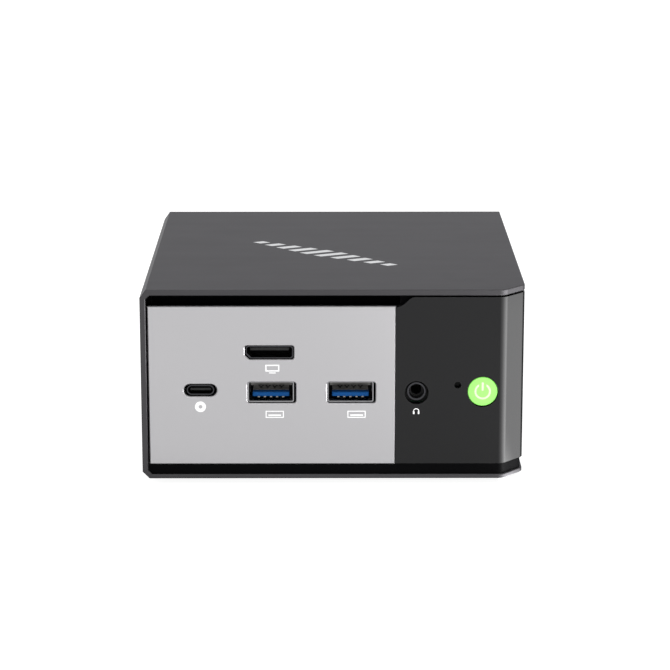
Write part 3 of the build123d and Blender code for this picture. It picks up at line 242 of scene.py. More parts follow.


# %% [markdown]
# ## One way to build a finish
# Each finish is a Principled surface whose colour drifts a little, brightens on edges from wear and a painted edge
# highlight, and takes a grain as bump. The values differ from one to the next: how coarse the grain is, how much the
# edges brighten, how mirror like the surface is. Values that are the same all over stay on the shader's own sockets.

# %% Finish builder
def make_finish(
    name, colour, metallic=0.0, roughness=0.5, spread=0.06, drift=0.08, drift_scale=30.0,
    pit_scale=4000.0, pit_depth=0.00001, pit_strength=0.3, edge_width=0.0002, edge_lift=0.2,
    smudge_scale=60.0, specular=0.5,
):
    """A material with drifting tone, edges brightened by wear and a painted highlight, smudged gloss and a pitted
    grain; returns it and its shader.
    """
    material = bpy.data.materials.new(name)
    material.use_nodes = True
    tree = material.node_tree
    shader = tree.nodes["Principled BSDF"]
    shader.inputs["Metallic"].default_value = metallic
    shader.inputs["Specular IOR Level"].default_value = specular
    grain = add_node(
        tree, "ShaderNodeGroup", {"node_tree": PITTED_GRAIN}, Pit_Scale=pit_scale, Drift_Scale=drift_scale
    )
    edge_wear_highlight = add_node(
        tree, "ShaderNodeGroup", {"node_tree": EDGE_WEAR_AND_HIGHLIGHT}, Width=edge_width
    )
    handled = add_node(tree, "ShaderNodeGroup", {"node_tree": HANDLING}, Smudge_Scale=smudge_scale)

    def shade(factor, lift=0.0):
        return tuple(min(1.0, c * factor + lift) for c in colour[:3]) + (1.0,)

    tone = add_node(tree, "ShaderNodeMix", {"data_type": "RGBA"})
    tone.inputs["A"].default_value = shade(1 - drift)
    tone.inputs["B"].default_value = shade(1 + drift)
    tree.links.new(grain.outputs["Tone"], tone.inputs["Factor"])
    edge_wear_highlight_mix = add_node(tree, "ShaderNodeMix", {"data_type": "RGBA"})
    tree.links.new(edge_wear_highlight.outputs["Mask"], edge_wear_highlight_mix.inputs["Factor"])
    tree.links.new(tone.outputs["Result"], edge_wear_highlight_mix.inputs["A"])
    # edge colour: real wear plus a painted edge highlight
    edge_wear_highlight_mix.inputs["B"].default_value = shade(1 + edge_lift, edge_lift * 0.15)
    tree.links.new(edge_wear_highlight_mix.outputs["Result"], shader.inputs["Base Color"])
    gloss = add_node(
        tree, "ShaderNodeMapRange", From_Min=0.35, From_Max=0.65,
        To_Min=max(0.02, roughness - spread), To_Max=min(1.0, roughness + spread),
    )
    join(tree, handled, "Value", gloss, "Value")
    join(tree, gloss, "Result", shader, "Roughness")
    bump = add_node(tree, "ShaderNodeBump", Strength=pit_strength, Distance=pit_depth)
    join(tree, grain, "Height", bump, "Height")
    join(tree, bump, "Normal", shader, "Normal")
    return material, shader


# %% [markdown]
# ## Metals of the case
# The shell is aluminium sheet, blasted and anodised in a dark gunmetal tone, so it is a metal with a dark tint
# and a fine, even grain. The front panel is the same sheet anodised clear, a little smoother and much brighter.

# %% Shell, emblem and front panel
finishes = {}
finishes["gunmetal_shell"], gunmetal_shader = make_finish(
    "gunmetal_shell", linear(70, 69, 71), metallic=0.9, roughness=0.42, spread=0.01, drift=0.025,
    pit_scale=5200.0, pit_depth=0.000012, pit_strength=0.35, edge_width=0.00030, edge_lift=0.12,
)
gunmetal_shader.inputs["Specular Tint"].default_value = linear(206, 206, 208)
finishes["emblem_metal"], _ = make_finish(
    "emblem_metal", linear(205, 206, 208), metallic=1.0, roughness=0.30, spread=0.05, drift=0.12, drift_scale=45.0,
    pit_scale=3200.0, pit_depth=0.000008, edge_width=0.00015, edge_lift=0.1,
)
finishes["silver_panel"], _ = make_finish(
    "silver_panel", linear(175, 174, 176), metallic=0.85, roughness=0.38, spread=0.02, drift=0.015, drift_scale=18.0,
    pit_scale=6000.0, pit_depth=0.000010, pit_strength=0.30, edge_width=0.00032, edge_lift=0.35,
)
print("case metals:", sorted(finishes))


# %% [markdown]
# The corner cover is moulded in a polished tool and comes out like black glass, so every fine scratch shows.
# Two fields of stretched noise, turned against each other, give a web of hairlines that only touches the gloss.

# %% Glossy corner cover
finishes["gloss_black"], gloss_shader = make_finish(
    "gloss_black", linear(15, 15, 16), metallic=0.0, roughness=0.09, spread=0.03, drift=0.05,
    pit_scale=900.0, pit_depth=0.000004, pit_strength=0.05, edge_width=0.00025, edge_lift=0.12, specular=0.24,
)


def add_hairlines(material, shader, turn, strength, depth):
    """Crossed hairline scratches on top of the finish's own grain."""
    tree = material.node_tree
    where = add_node(tree, "ShaderNodeTexCoord")
    under = shader.inputs["Normal"].links[0].from_node
    for angle in (turn, -turn * 1.7):
        lay = add_node(tree, "ShaderNodeMapping")
        lay.inputs["Rotation"].default_value = (radians(angle), radians(angle * 0.6), radians(angle))
        lay.inputs["Scale"].default_value = (2600.0, 60.0, 2600.0)
        lines = add_node(tree, "ShaderNodeTexNoise", Scale=1.0, Detail=1.0)
        sharp = add_node(tree, "ShaderNodeMapRange", From_Min=0.66, From_Max=0.72, To_Min=1.0, To_Max=0.0)
        bump = add_node(tree, "ShaderNodeBump", Strength=strength, Distance=depth)
        join(tree, where, "Object", lay, "Vector")
        join(tree, lay, "Vector", lines, "Vector")
        join(tree, lines, "Fac", sharp, "Value")
        join(tree, sharp, "Result", bump, "Height")
        join(tree, under, "Normal", bump, "Normal")
        under = bump
    join(tree, under, "Normal", shader, "Normal")


add_hairlines(finishes["gloss_black"], gloss_shader, turn=24.0, strength=0.08, depth=0.000004)
print("hairlines on", finishes["gloss_black"].name)


# %% [markdown]
# ## Plastics and rubber
# The frame, rear panel and fans are moulded in tools with an etched face. It scatters light, so these blacks look
# soft and deep. Rubber is rougher still and greyer, with a coarser bloom.

# %% Moulded blacks and rubber
finishes["matte_black"], _ = make_finish(
    "matte_black", linear(5, 5, 6), roughness=0.62, spread=0.08, drift=0.12, pit_scale=2600.0,
    pit_depth=0.00003, pit_strength=0.4, edge_width=0.00025, edge_lift=0.15, specular=0.03,
)
finishes["rear_black"], _ = make_finish(
    "rear_black", linear(30, 30, 32), roughness=0.46, spread=0.08, drift=0.12, pit_scale=2200.0,
    pit_depth=0.00004, pit_strength=0.5, edge_width=0.00035, edge_lift=0.5, specular=0.45,
)
finishes["fan_black"], _ = make_finish(
    "fan_black", linear(26, 26, 29), roughness=0.40, spread=0.08, drift=0.1, pit_scale=1500.0,
    pit_depth=0.00001, edge_width=0.0002, edge_lift=0.5,
)
finishes["rubber"], _ = make_finish(
    "rubber", linear(30, 30, 31), roughness=0.82, spread=0.08, drift=0.18, drift_scale=160.0, pit_scale=1400.0,
    pit_depth=0.00006, pit_strength=0.6, edge_width=0.0004, edge_lift=0.5, specular=0.25,
)
finishes["port_black"], _ = make_finish(
    "port_black", linear(18, 18, 19), roughness=0.5, drift=0.1, pit_scale=3000.0, pit_depth=0.00001,
    edge_width=0.0001, edge_lift=0.5, specular=0.35,
)
finishes["chip_black"], _ = make_finish(
    "chip_black", linear(34, 34, 36), roughness=0.66, drift=0.14, pit_scale=3600.0, pit_depth=0.00002,
    edge_width=0.0001, edge_lift=0.4,
)
finishes["inductor_grey"], _ = make_finish(
    "inductor_grey", linear(94, 94, 97), roughness=0.74, drift=0.2, drift_scale=500.0, pit_scale=2400.0,
    pit_depth=0.00004, pit_strength=0.6, edge_width=0.0003, edge_lift=0.3,
)
finishes["cable_black"], _ = make_finish(
    "cable_black", linear(22, 22, 23), roughness=0.35, drift=0.1, pit_scale=1800.0, pit_depth=0.00001,
    edge_width=0.00005, edge_lift=0.1,
)
finishes["type_a_blue"], blue_shader = make_finish(
    "type_a_blue", linear(8, 72, 132), roughness=0.50, spread=0.06, drift=0.08, pit_scale=2600.0,
    pit_depth=0.00001, edge_width=0.0001, edge_lift=0.10, specular=0.12,
)
print("plastics ready:", len(finishes))


# %% [markdown]
# The blue tongue of each type A socket is moulded in one with the block behind it. Only the tongue's tip catches
# light from the mouth; the block behind it is painted nearly black as painted shade. A mask along the depth splits
# the two.

# %% Tongue tip and painted shade on the block
TONGUE_TIP = 58.5 * MM  # distance from the middle of the machine beyond which the tongue is plain blue; nearer the middle it carries painted shade


def paint_block_shade(material, shader):
    """Painted shade: everything nearer the middle than the tongue's tip goes dark."""
    tree = material.node_tree
    tone = shader.inputs["Base Color"].links[0].from_socket
    where = add_node(tree, "ShaderNodeTexCoord")
    apart = add_node(tree, "ShaderNodeSeparateXYZ")
    distance = add_node(tree, "ShaderNodeMath", {"operation": "ABSOLUTE"})
    tip = add_node(tree, "ShaderNodeMapRange", From_Min=TONGUE_TIP - 0.8 * MM, From_Max=TONGUE_TIP + 0.8 * MM)
    shade_split = add_node(tree, "ShaderNodeMix", {"data_type": "RGBA"})
    # the colour of the painted shade on the block behind the tip
    shade_split.inputs["A"].default_value = linear(16, 16, 18)
    join(tree, where, "Object", apart, "Vector")
    tree.links.new(apart.outputs["Y"], distance.inputs[0])
    tree.links.new(distance.outputs[0], tip.inputs["Value"])
    tree.links.new(tip.outputs["Result"], shade_split.inputs["Factor"])
    tree.links.new(tone, shade_split.inputs["B"])
    tree.links.new(shade_split.outputs["Result"], shader.inputs["Base Color"])


paint_block_shade(finishes["type_a_blue"], blue_shader)


# %% [markdown]
# ## The lit button
# The button is clear green plastic with lamps behind it, so it glows from inside and is a little brighter in the
# middle than at its rim. A soft falloff from the button's own centre drives the glow, and the mark stays pale.

# %% Button and its mark
finishes["green_button"], button_shader = make_finish(
    "green_button", linear(120, 205, 84), roughness=0.22, spread=0.04, drift=0.05, drift_scale=120.0,
    pit_scale=1200.0, pit_depth=0.000004, pit_strength=0.1, edge_width=0.0003, edge_lift=0.1,
)
finishes["symbol_white"], symbol_shader = make_finish(
    "symbol_white", linear(190, 226, 170), roughness=0.35, drift=0.03, pit_scale=2200.0, pit_depth=0.000004,
    edge_width=0.0001, edge_lift=0.05,
)
button_low, button_high = (Vector(corner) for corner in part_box("power_button"))
button_middle = (button_low + button_high) / 2
GLOW_REACH = 5.5 * MM  # from the middle of the button to where its glow has its outer colour


def add_glow(material, shader, inner, outer, strength):
    """Light from inside that fades from the button's middle to its rim and leaves its sides dark."""
    tree = material.node_tree
    where = add_node(tree, "ShaderNodeTexCoord")
    centre = add_node(tree, "ShaderNodeMapping")
    centre.inputs["Location"].default_value = tuple(-v for v in button_middle)
    flat = add_node(tree, "ShaderNodeVectorMath", {"operation": "MULTIPLY"})
    flat.inputs[1].default_value = (1.0, 0.0, 1.0)
    reach = add_node(tree, "ShaderNodeVectorMath", {"operation": "LENGTH"})
    fade = add_node(tree, "ShaderNodeMapRange", From_Min=0.0, From_Max=GLOW_REACH, To_Min=0.0, To_Max=1.0)
    colour = add_node(tree, "ShaderNodeMix", {"data_type": "RGBA"})
    colour.inputs["A"].default_value = inner
    colour.inputs["B"].default_value = outer
    join(tree, where, "Object", centre, "Vector")
    tree.links.new(centre.outputs["Vector"], flat.inputs[0])
    tree.links.new(flat.outputs["Vector"], reach.inputs[0])
    join(tree, reach, "Value", fade, "Value")
    tree.links.new(fade.outputs["Result"], colour.inputs["Factor"])
    apart = add_node(tree, "ShaderNodeSeparateXYZ")
    face = add_node(
        tree, "ShaderNodeMapRange", From_Min=button_low.y + 0.1 * MM, From_Max=button_low.y + 0.35 * MM,
        To_Min=0.0, To_Max=1.0,
    )
    lit = add_node(tree, "ShaderNodeMix", {"data_type": "RGBA"})
    lit.inputs["B"].default_value = (0.0, 0.0, 0.0, 1.0)
    join(tree, where, "Object", apart, "Vector")
    join(tree, apart, "Y", face, "Value")
    tree.links.new(face.outputs["Result"], lit.inputs["Factor"])
    tree.links.new(colour.outputs["Result"], lit.inputs["A"])
    tree.links.new(lit.outputs["Result"], shader.inputs["Emission Color"])
    shader.inputs["Emission Strength"].default_value = strength


add_glow(finishes["green_button"], button_shader, linear(144, 208, 115), linear(136, 204, 100), 0.5)
add_glow(finishes["symbol_white"], symbol_shader, linear(214, 238, 196), linear(204, 230, 180), 0.05)
print("button centre (mm):", [round(v * 1000, 2) for v in button_middle])


# %% [markdown]
# ## Small metals
# Socket shells are drawn from thin tinned steel, screws are dark zinc, and some contacts carry gold. Drawing leaves
# fine lines along the pull, so these metals get a stretched grain in place of an even one. Each entry below is a
# colour, a roughness and the grain's scale along X, Y and Z: the lower the scale, the longer the lines that way.

# %% Drawn, turned and plated metals
def add_drawn_lines(material, shader, stretch, strength, depth):
    """Fine parallel lines left by drawing or rolling."""
    tree = material.node_tree
    where = add_node(tree, "ShaderNodeTexCoord")
    lay = add_node(tree, "ShaderNodeMapping")
    lay.inputs["Scale"].default_value = stretch
    lines = add_node(tree, "ShaderNodeTexNoise", Scale=1.0, Detail=2.0)
    bump = add_node(tree, "ShaderNodeBump", Strength=strength, Distance=depth)
    under = shader.inputs["Normal"].links[0].from_node
    join(tree, where, "Object", lay, "Vector")
    join(tree, lay, "Vector", lines, "Vector")
    join(tree, lines, "Fac", bump, "Height")
    join(tree, under, "Normal", bump, "Normal")
    join(tree, bump, "Normal", shader, "Normal")


small_metals = {
    "port_steel": (linear(150, 150, 152), 0.28, (5000.0, 150.0, 5000.0)),
    "shield_grey": (linear(132, 131, 129), 0.36, (5000.0, 150.0, 5000.0)),
    "port_nickel": (linear(62, 62, 65), 0.30, (5000.0, 150.0, 5000.0)),
    "screw_steel": (linear(92, 92, 96), 0.34, (3000.0, 3000.0, 300.0)),
    "gold_contacts": (linear(226, 186, 110), 0.22, (4000.0, 200.0, 4000.0)),
    "insert_brass": (linear(206, 174, 110), 0.30, (300.0, 300.0, 6000.0)),
    "copper": (linear(200, 130, 96), 0.32, (250.0, 2500.0, 2500.0)),
    "fin_metal": (linear(186, 188, 192), 0.36, (3000.0, 200.0, 2000.0)),
    "cell_steel": (linear(196, 196, 198), 0.28, (1800.0, 220.0, 1800.0)),
}
for slot_name, (colour, roughness, stretch) in small_metals.items():
    finishes[slot_name], metal_shader = make_finish(
        slot_name, colour, metallic=1.0, roughness=roughness, spread=0.08, drift=0.08, drift_scale=200.0,
        pit_scale=3500.0, pit_depth=0.000005, edge_width=0.00012, edge_lift=0.15, smudge_scale=200.0,
    )
    add_drawn_lines(finishes[slot_name], metal_shader, stretch, strength=0.25, depth=0.000006)
print("small metals:", len(small_metals))


# %% [markdown]
# ## Printed boards
# A board is glass cloth under a green solder mask. Copper tracks stand a hair above the laminate and show through
# as paler lines. Stepped noise on a fine square grid gives runs of track without drawing a real circuit.

# %% Board green with tracks
def make_board_green():
    material, shader = make_finish(
        "green_board", linear(18, 58, 40), roughness=0.34, spread=0.06, drift=0.12, drift_scale=90.0,
        pit_scale=1600.0, pit_depth=0.000006, edge_width=0.0001, edge_lift=0.5,
    )
    tree = material.node_tree
    where = add_node(tree, "ShaderNodeTexCoord")
    tone = shader.inputs["Base Color"].links[0].from_socket
    masks = []
    for stretch in ((1500.0, 110.0, 1500.0), (110.0, 1500.0, 1500.0)):
        lay = add_node(tree, "ShaderNodeMapping")
        lay.inputs["Scale"].default_value = stretch
        cells = add_node(tree, "ShaderNodeTexVoronoi", {"distance": "CHEBYCHEV"}, Scale=1.0, Randomness=0.35)
        track = add_node(tree, "ShaderNodeMapRange", From_Min=0.30, From_Max=0.34, To_Min=1.0, To_Max=0.0)
        join(tree, where, "Object", lay, "Vector")
        join(tree, lay, "Vector", cells, "Vector")
        join(tree, cells, "Distance", track, "Value")
        masks.append(track)
    region = add_node(tree, "ShaderNodeTexNoise", Scale=45.0, Detail=0.0)
    pick = add_node(tree, "ShaderNodeMapRange", From_Min=0.48, From_Max=0.52, To_Min=0.0, To_Max=1.0)
    either = add_node(tree, "ShaderNodeMix", {"data_type": "FLOAT"})
    join(tree, where, "Object", region, "Vector")
    join(tree, region, "Fac", pick, "Value")
    tree.links.new(pick.outputs["Result"], either.inputs["Factor"])
    tree.links.new(masks[0].outputs["Result"], either.inputs["A"])
    tree.links.new(masks[1].outputs["Result"], either.inputs["B"])
    tracks = add_node(tree, "ShaderNodeMix", {"data_type": "RGBA"})
    tree.links.new(either.outputs["Result"], tracks.inputs["Factor"])
    tree.links.new(tone, tracks.inputs["A"])
    tracks.inputs["B"].default_value = linear(34, 96, 62)
    tree.links.new(tracks.outputs["Result"], shader.inputs["Base Color"])
    return material


finishes["green_board"] = make_board_green()


# %% [markdown]
# ## Giving the pieces their finish
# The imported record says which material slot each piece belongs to, so one loop dresses them all.

# %% Dress the measured pieces
slot_of = {entry["node"]: entry["material_slot"] for entry in frame["record"]["subparts"]}
finishes["filter_black"] = finishes["cable_black"]
for name, piece in nodes.items():
    for slot in piece.material_slots:
        slot.material = finishes[slot_of[name]]
# two pieces look a little different from the rest of their slot: duller contacts, a greyer rear panel
nodes["type_a_contacts"].material_slots[0].material = finishes["shield_grey"]
nodes["rear_panel"].material_slots[0].material = finishes["rear_black"]
print("dressed", len(nodes), "pieces in", len(set(slot_of.values())), "finishes")


# %% [markdown]
# ## Helpers for added pieces
# What is added is built as a mesh in its final place, takes its finish and rides with the case.

# %% Turning a mesh into a piece
def finish_piece(mesh, name, material, body="case"):
    """Puts a finished mesh in the scene with its material and hangs it on the body."""
    mesh.materials.clear()
    mesh.materials.append(material)
    piece = bpy.data.objects.new(name, mesh)
    scene.collection.objects.link(piece)
    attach(piece, body)
    return piece


def add_box(shape, low, high):
    """One closed box between two corners, added to a bmesh."""
    low, high = Vector(low), Vector(high)
    size = high - low
    place = Matrix.Translation((low + high) / 2) @ Matrix.Diagonal((*size, 1.0))
    return bmesh.ops.create_cube(shape, size=1.0, matrix=place)["verts"]


def add_ring_sector(shape, centre, inner, outer, start, end, steps, depth):
    """A flat arc band that faces the front, with a thickness along Y."""
    cx, cy, cz = centre
    loops = []
    for step in range(steps + 1):
        angle = radians(start + (end - start) * step / steps)
        loops.append([
            shape.verts.new((cx + r * cos(angle), cy + d, cz + r * sin(angle)))
            for r, d in ((inner, 0.0), (outer, 0.0), (outer, depth), (inner, depth))
        ])
    closed = abs(end - start) >= 360
    if closed:
        bmesh.ops.delete(shape, geom=loops.pop(), context="VERTS")
        loops.append(loops[0])
    for one, two in zip(loops, loops[1:]):
        for k in range(4):
            shape.faces.new((one[k], one[(k + 1) % 4], two[(k + 1) % 4], two[k]))
    if not closed:
        shape.faces.new(loops[0])
        shape.faces.new(loops[-1])


def to_mesh(shape, name):
    """Closes a bmesh off: outward faces, then a plain mesh."""
    bmesh.ops.recalc_face_normals(shape, faces=shape.faces)
    mesh = bpy.data.meshes.new(name)
    shape.to_mesh(mesh)
    shape.free()
    return mesh


# %% [markdown]
# ## Printed marks
# Beside each socket a small pictogram says what it takes. They are screen printed, a film of ink only a few
# hundredths of a millimetre thick. These are plain shapes: a ring, a screen on a stand, a slot with a bar in it.

# %% Marks on the metal panel
finishes["ink_white"], _ = make_finish(
    "ink_white", linear(244, 244, 244), roughness=0.55, drift=0.03, pit_scale=5200.0, pit_depth=0.000004,
    edge_width=0.00005, edge_lift=0.02,
)
INK = 0.03 * MM
# x of each mark's middle, and its height above the shell's underside, in millimetres
TYPE_C_MARK, DISPLAY_MARK, HEADSET_MARK = (-43.57, 24.6), (-19.9, 37.4), (27.3, 23.0)
TYPE_A_MARKS = ((-19.2, 22.0), (7.7, 22.0))
panel_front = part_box("front_panel")[0][1]
base_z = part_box("outer_shell")[0][2]


def mark_at(place):
    return place[0] * MM, base_z + place[1] * MM


def frame_mark(shape, x, z, width, height, line, y):
    """An open rectangle of even line width, built from four boxes that share no face."""
    l, r, b, t = x - width / 2, x + width / 2, z - height / 2, z + height / 2
    add_box(shape, (l, y - INK, b), (r, y, b + line))
    add_box(shape, (l, y - INK, t - line), (r, y, t))
    add_box(shape, (l, y - INK, b + line), (l + line, y, t - line))
    add_box(shape, (r - line, y - INK, b + line), (r, y, t - line))


def make_panel_marks():
    ink = bmesh.new()
    y = panel_front
    # a thick ring under the reversible socket
    x, z = mark_at(TYPE_C_MARK)
    add_ring_sector(ink, (x, y - INK, z), 0.62 * MM, 1.82 * MM, 0, 360, 48, INK)
    # a screen on a stand under the display socket
    x, z = mark_at(DISPLAY_MARK)
    frame_mark(ink, x, z + 0.3 * MM, 4.6 * MM, 2.3 * MM, 0.42 * MM, y)
    add_box(ink, (x - 1.1 * MM, y - INK, z - 1.5 * MM), (x + 1.1 * MM, y, z - 1.15 * MM))
    # a slot with a bar in it under each type A socket
    for place in TYPE_A_MARKS:
        x, z = mark_at(place)
        frame_mark(ink, x, z, 6.0 * MM, 2.4 * MM, 0.32 * MM, y)
        add_box(ink, (x - 2.1 * MM, y - INK, z - 0.55 * MM), (x + 2.1 * MM, y, z - 0.05 * MM))
    return to_mesh(ink, "panel_marks")


finish_piece(make_panel_marks(), "panel_marks", finishes["ink_white"])


def make_headset_mark():
    """A head band arc with two ear pads under the headset socket."""
    ink = bmesh.new()
    x, z = mark_at(HEADSET_MARK)
    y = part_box("corner_cover")[0][1] - INK
    add_ring_sector(ink, (x, y, z), 0.75 * MM, 1.0 * MM, 0, 180, 16, INK)
    for side in (-1, 1):
        low_x, high_x = sorted((x + side * 0.55 * MM, x + side * 1.05 * MM))
        add_box(ink, (low_x, y, z - 0.95 * MM), (high_x, y + INK, z - 0.02 * MM))
    return to_mesh(ink, "headset_mark")


finish_piece(make_headset_mark(), "headset_mark", finishes["ink_white"])
print("marks printed")


# %% [markdown]
# ## Inside the type A sockets
# On top of each tongue lies a tinned shield plate, and through it rise the forked ends of the four spring contacts.
# From the mouth they show as dark forks on a grey ground. Leaves cut from the shell's roof grip the plug.

# %% Plates, forks and leaves of the type A sockets
def add_leaf(shape, x, y, z, way, width=1.3 * MM, length=4.2 * MM, drop=0.75 * MM, thick=0.22 * MM, steps=7):
    """A leaf that starts at (x, y, z), runs towards the mouth and curls down at its tip."""
    sections = []
    for step in range(steps + 1):
        t = step / steps
        along = y + way * length * t
        down = drop * (sin(pi * min(1.0, t * 0.75)) ** 2)
        half = width / 2 * (1.0 - 0.35 * t * t)
        sections.append([
            shape.verts.new((x + dx, along, z - down + dz))
            for dx, dz in ((-half, 0.0), (half, 0.0), (half, -thick), (-half, -thick))
        ])
    for one, two in zip(sections, sections[1:]):
        for k in range(4):
            shape.faces.new((one[k], one[(k + 1) % 4], two[(k + 1) % 4], two[k]))
    shape.faces.new(sections[0])
    shape.faces.new(sections[-1])


def add_bar(shape, start, end, width, thick):
    """A straight flat bar between two points in plan, its underside at their height."""
    start, end = Vector(start), Vector(end)
    run = (end - start).normalized()
    side = Vector((-run.y, run.x, 0.0)) * (width / 2)
    up = Vector((0.0, 0.0, thick))
    low = [shape.verts.new(p) for p in (start - side, start + side, end + side, end - side)]
    high = [shape.verts.new(v.co + up) for v in low]
    for k in range(4):
        shape.faces.new((low[k], low[(k + 1) % 4], high[(k + 1) % 4], high[k]))
    shape.faces.new(low)
    shape.faces.new(high)


# x and z of each mouth's middle, y of its rim and the way out of it, in millimetres
FRONT_RIM, REAR_RIM = -64.65, 65.55
TYPE_A_MOUTHS = [
    (-20.45, FRONT_RIM, 31.4, -1), (5.7, FRONT_RIM, 31.4, -1), (-37.2, REAR_RIM, 31.4, 1), (-37.2, REAR_RIM, 38.5, 1),
]
TONGUE_TOP, SHELL_ROOF = -0.55, 3.12  # from a mouth's middle, in millimetres
FORK_PITCH = 2.25


def make_type_a_inside():
    plates, forks = bmesh.new(), bmesh.new()
    for x, rim, z, way in TYPE_A_MOUTHS:
        def at(dx, depth, dz):
            return ((x + dx) * MM, (rim - way * depth) * MM, (z + dz) * MM)
        near, far = at(-5.9, 4.0, TONGUE_TOP + 0.16), at(5.9, 9.4, TONGUE_TOP + 0.28)
        wall_near, wall_far = at(-6.8, 9.3, TONGUE_TOP + 0.3), at(6.8, 9.45, 2.8)
        for one, two in ((near, far), (wall_near, wall_far)):
            add_box(plates, [min(p) for p in zip(one, two)], [max(p) for p in zip(one, two)])
        for side in (-1, 1):
            add_leaf(plates, (x + side * 3.0) * MM, (rim - way * 7.4) * MM, (z + SHELL_ROOF) * MM, way)
        for k in (-1.5, -0.5, 0.5, 1.5):
            middle, lift = FORK_PITCH * k, TONGUE_TOP + 0.30
            add_bar(forks, at(middle, 5.6, lift), at(middle, 7.2, lift), 0.55 * MM, 0.12 * MM)
            for lean in (-1, 1):
                root, tip = at(middle + lean * 0.1, 7.1, lift), at(middle + lean * 0.75, 9.1, lift)
                add_bar(forks, root, tip, 0.4 * MM, 0.12 * MM)
    return to_mesh(plates, "type_a_plates"), to_mesh(forks, "type_a_forks")


plate_mesh, fork_mesh = make_type_a_inside()
finish_piece(plate_mesh, "type_a_plates", finishes["shield_grey"])
finish_piece(fork_mesh, "type_a_forks", finishes["port_black"])
print("type A sockets fitted:", len(TYPE_A_MOUTHS))


# %% [markdown]
# ## Woven filters
# Behind each side grille sits a panel of woven wire mesh that keeps dust out. Weaving is a rule: each wire goes
# over and under the ones it crosses. Geometry Nodes follow that rule, moving every point in or out by a product
# of two waves, so the two sets of wires always miss each other.

# %% Weave tree
FILTER_PITCH = 1.5 * MM
WIRE_RADIUS = 0.09 * MM


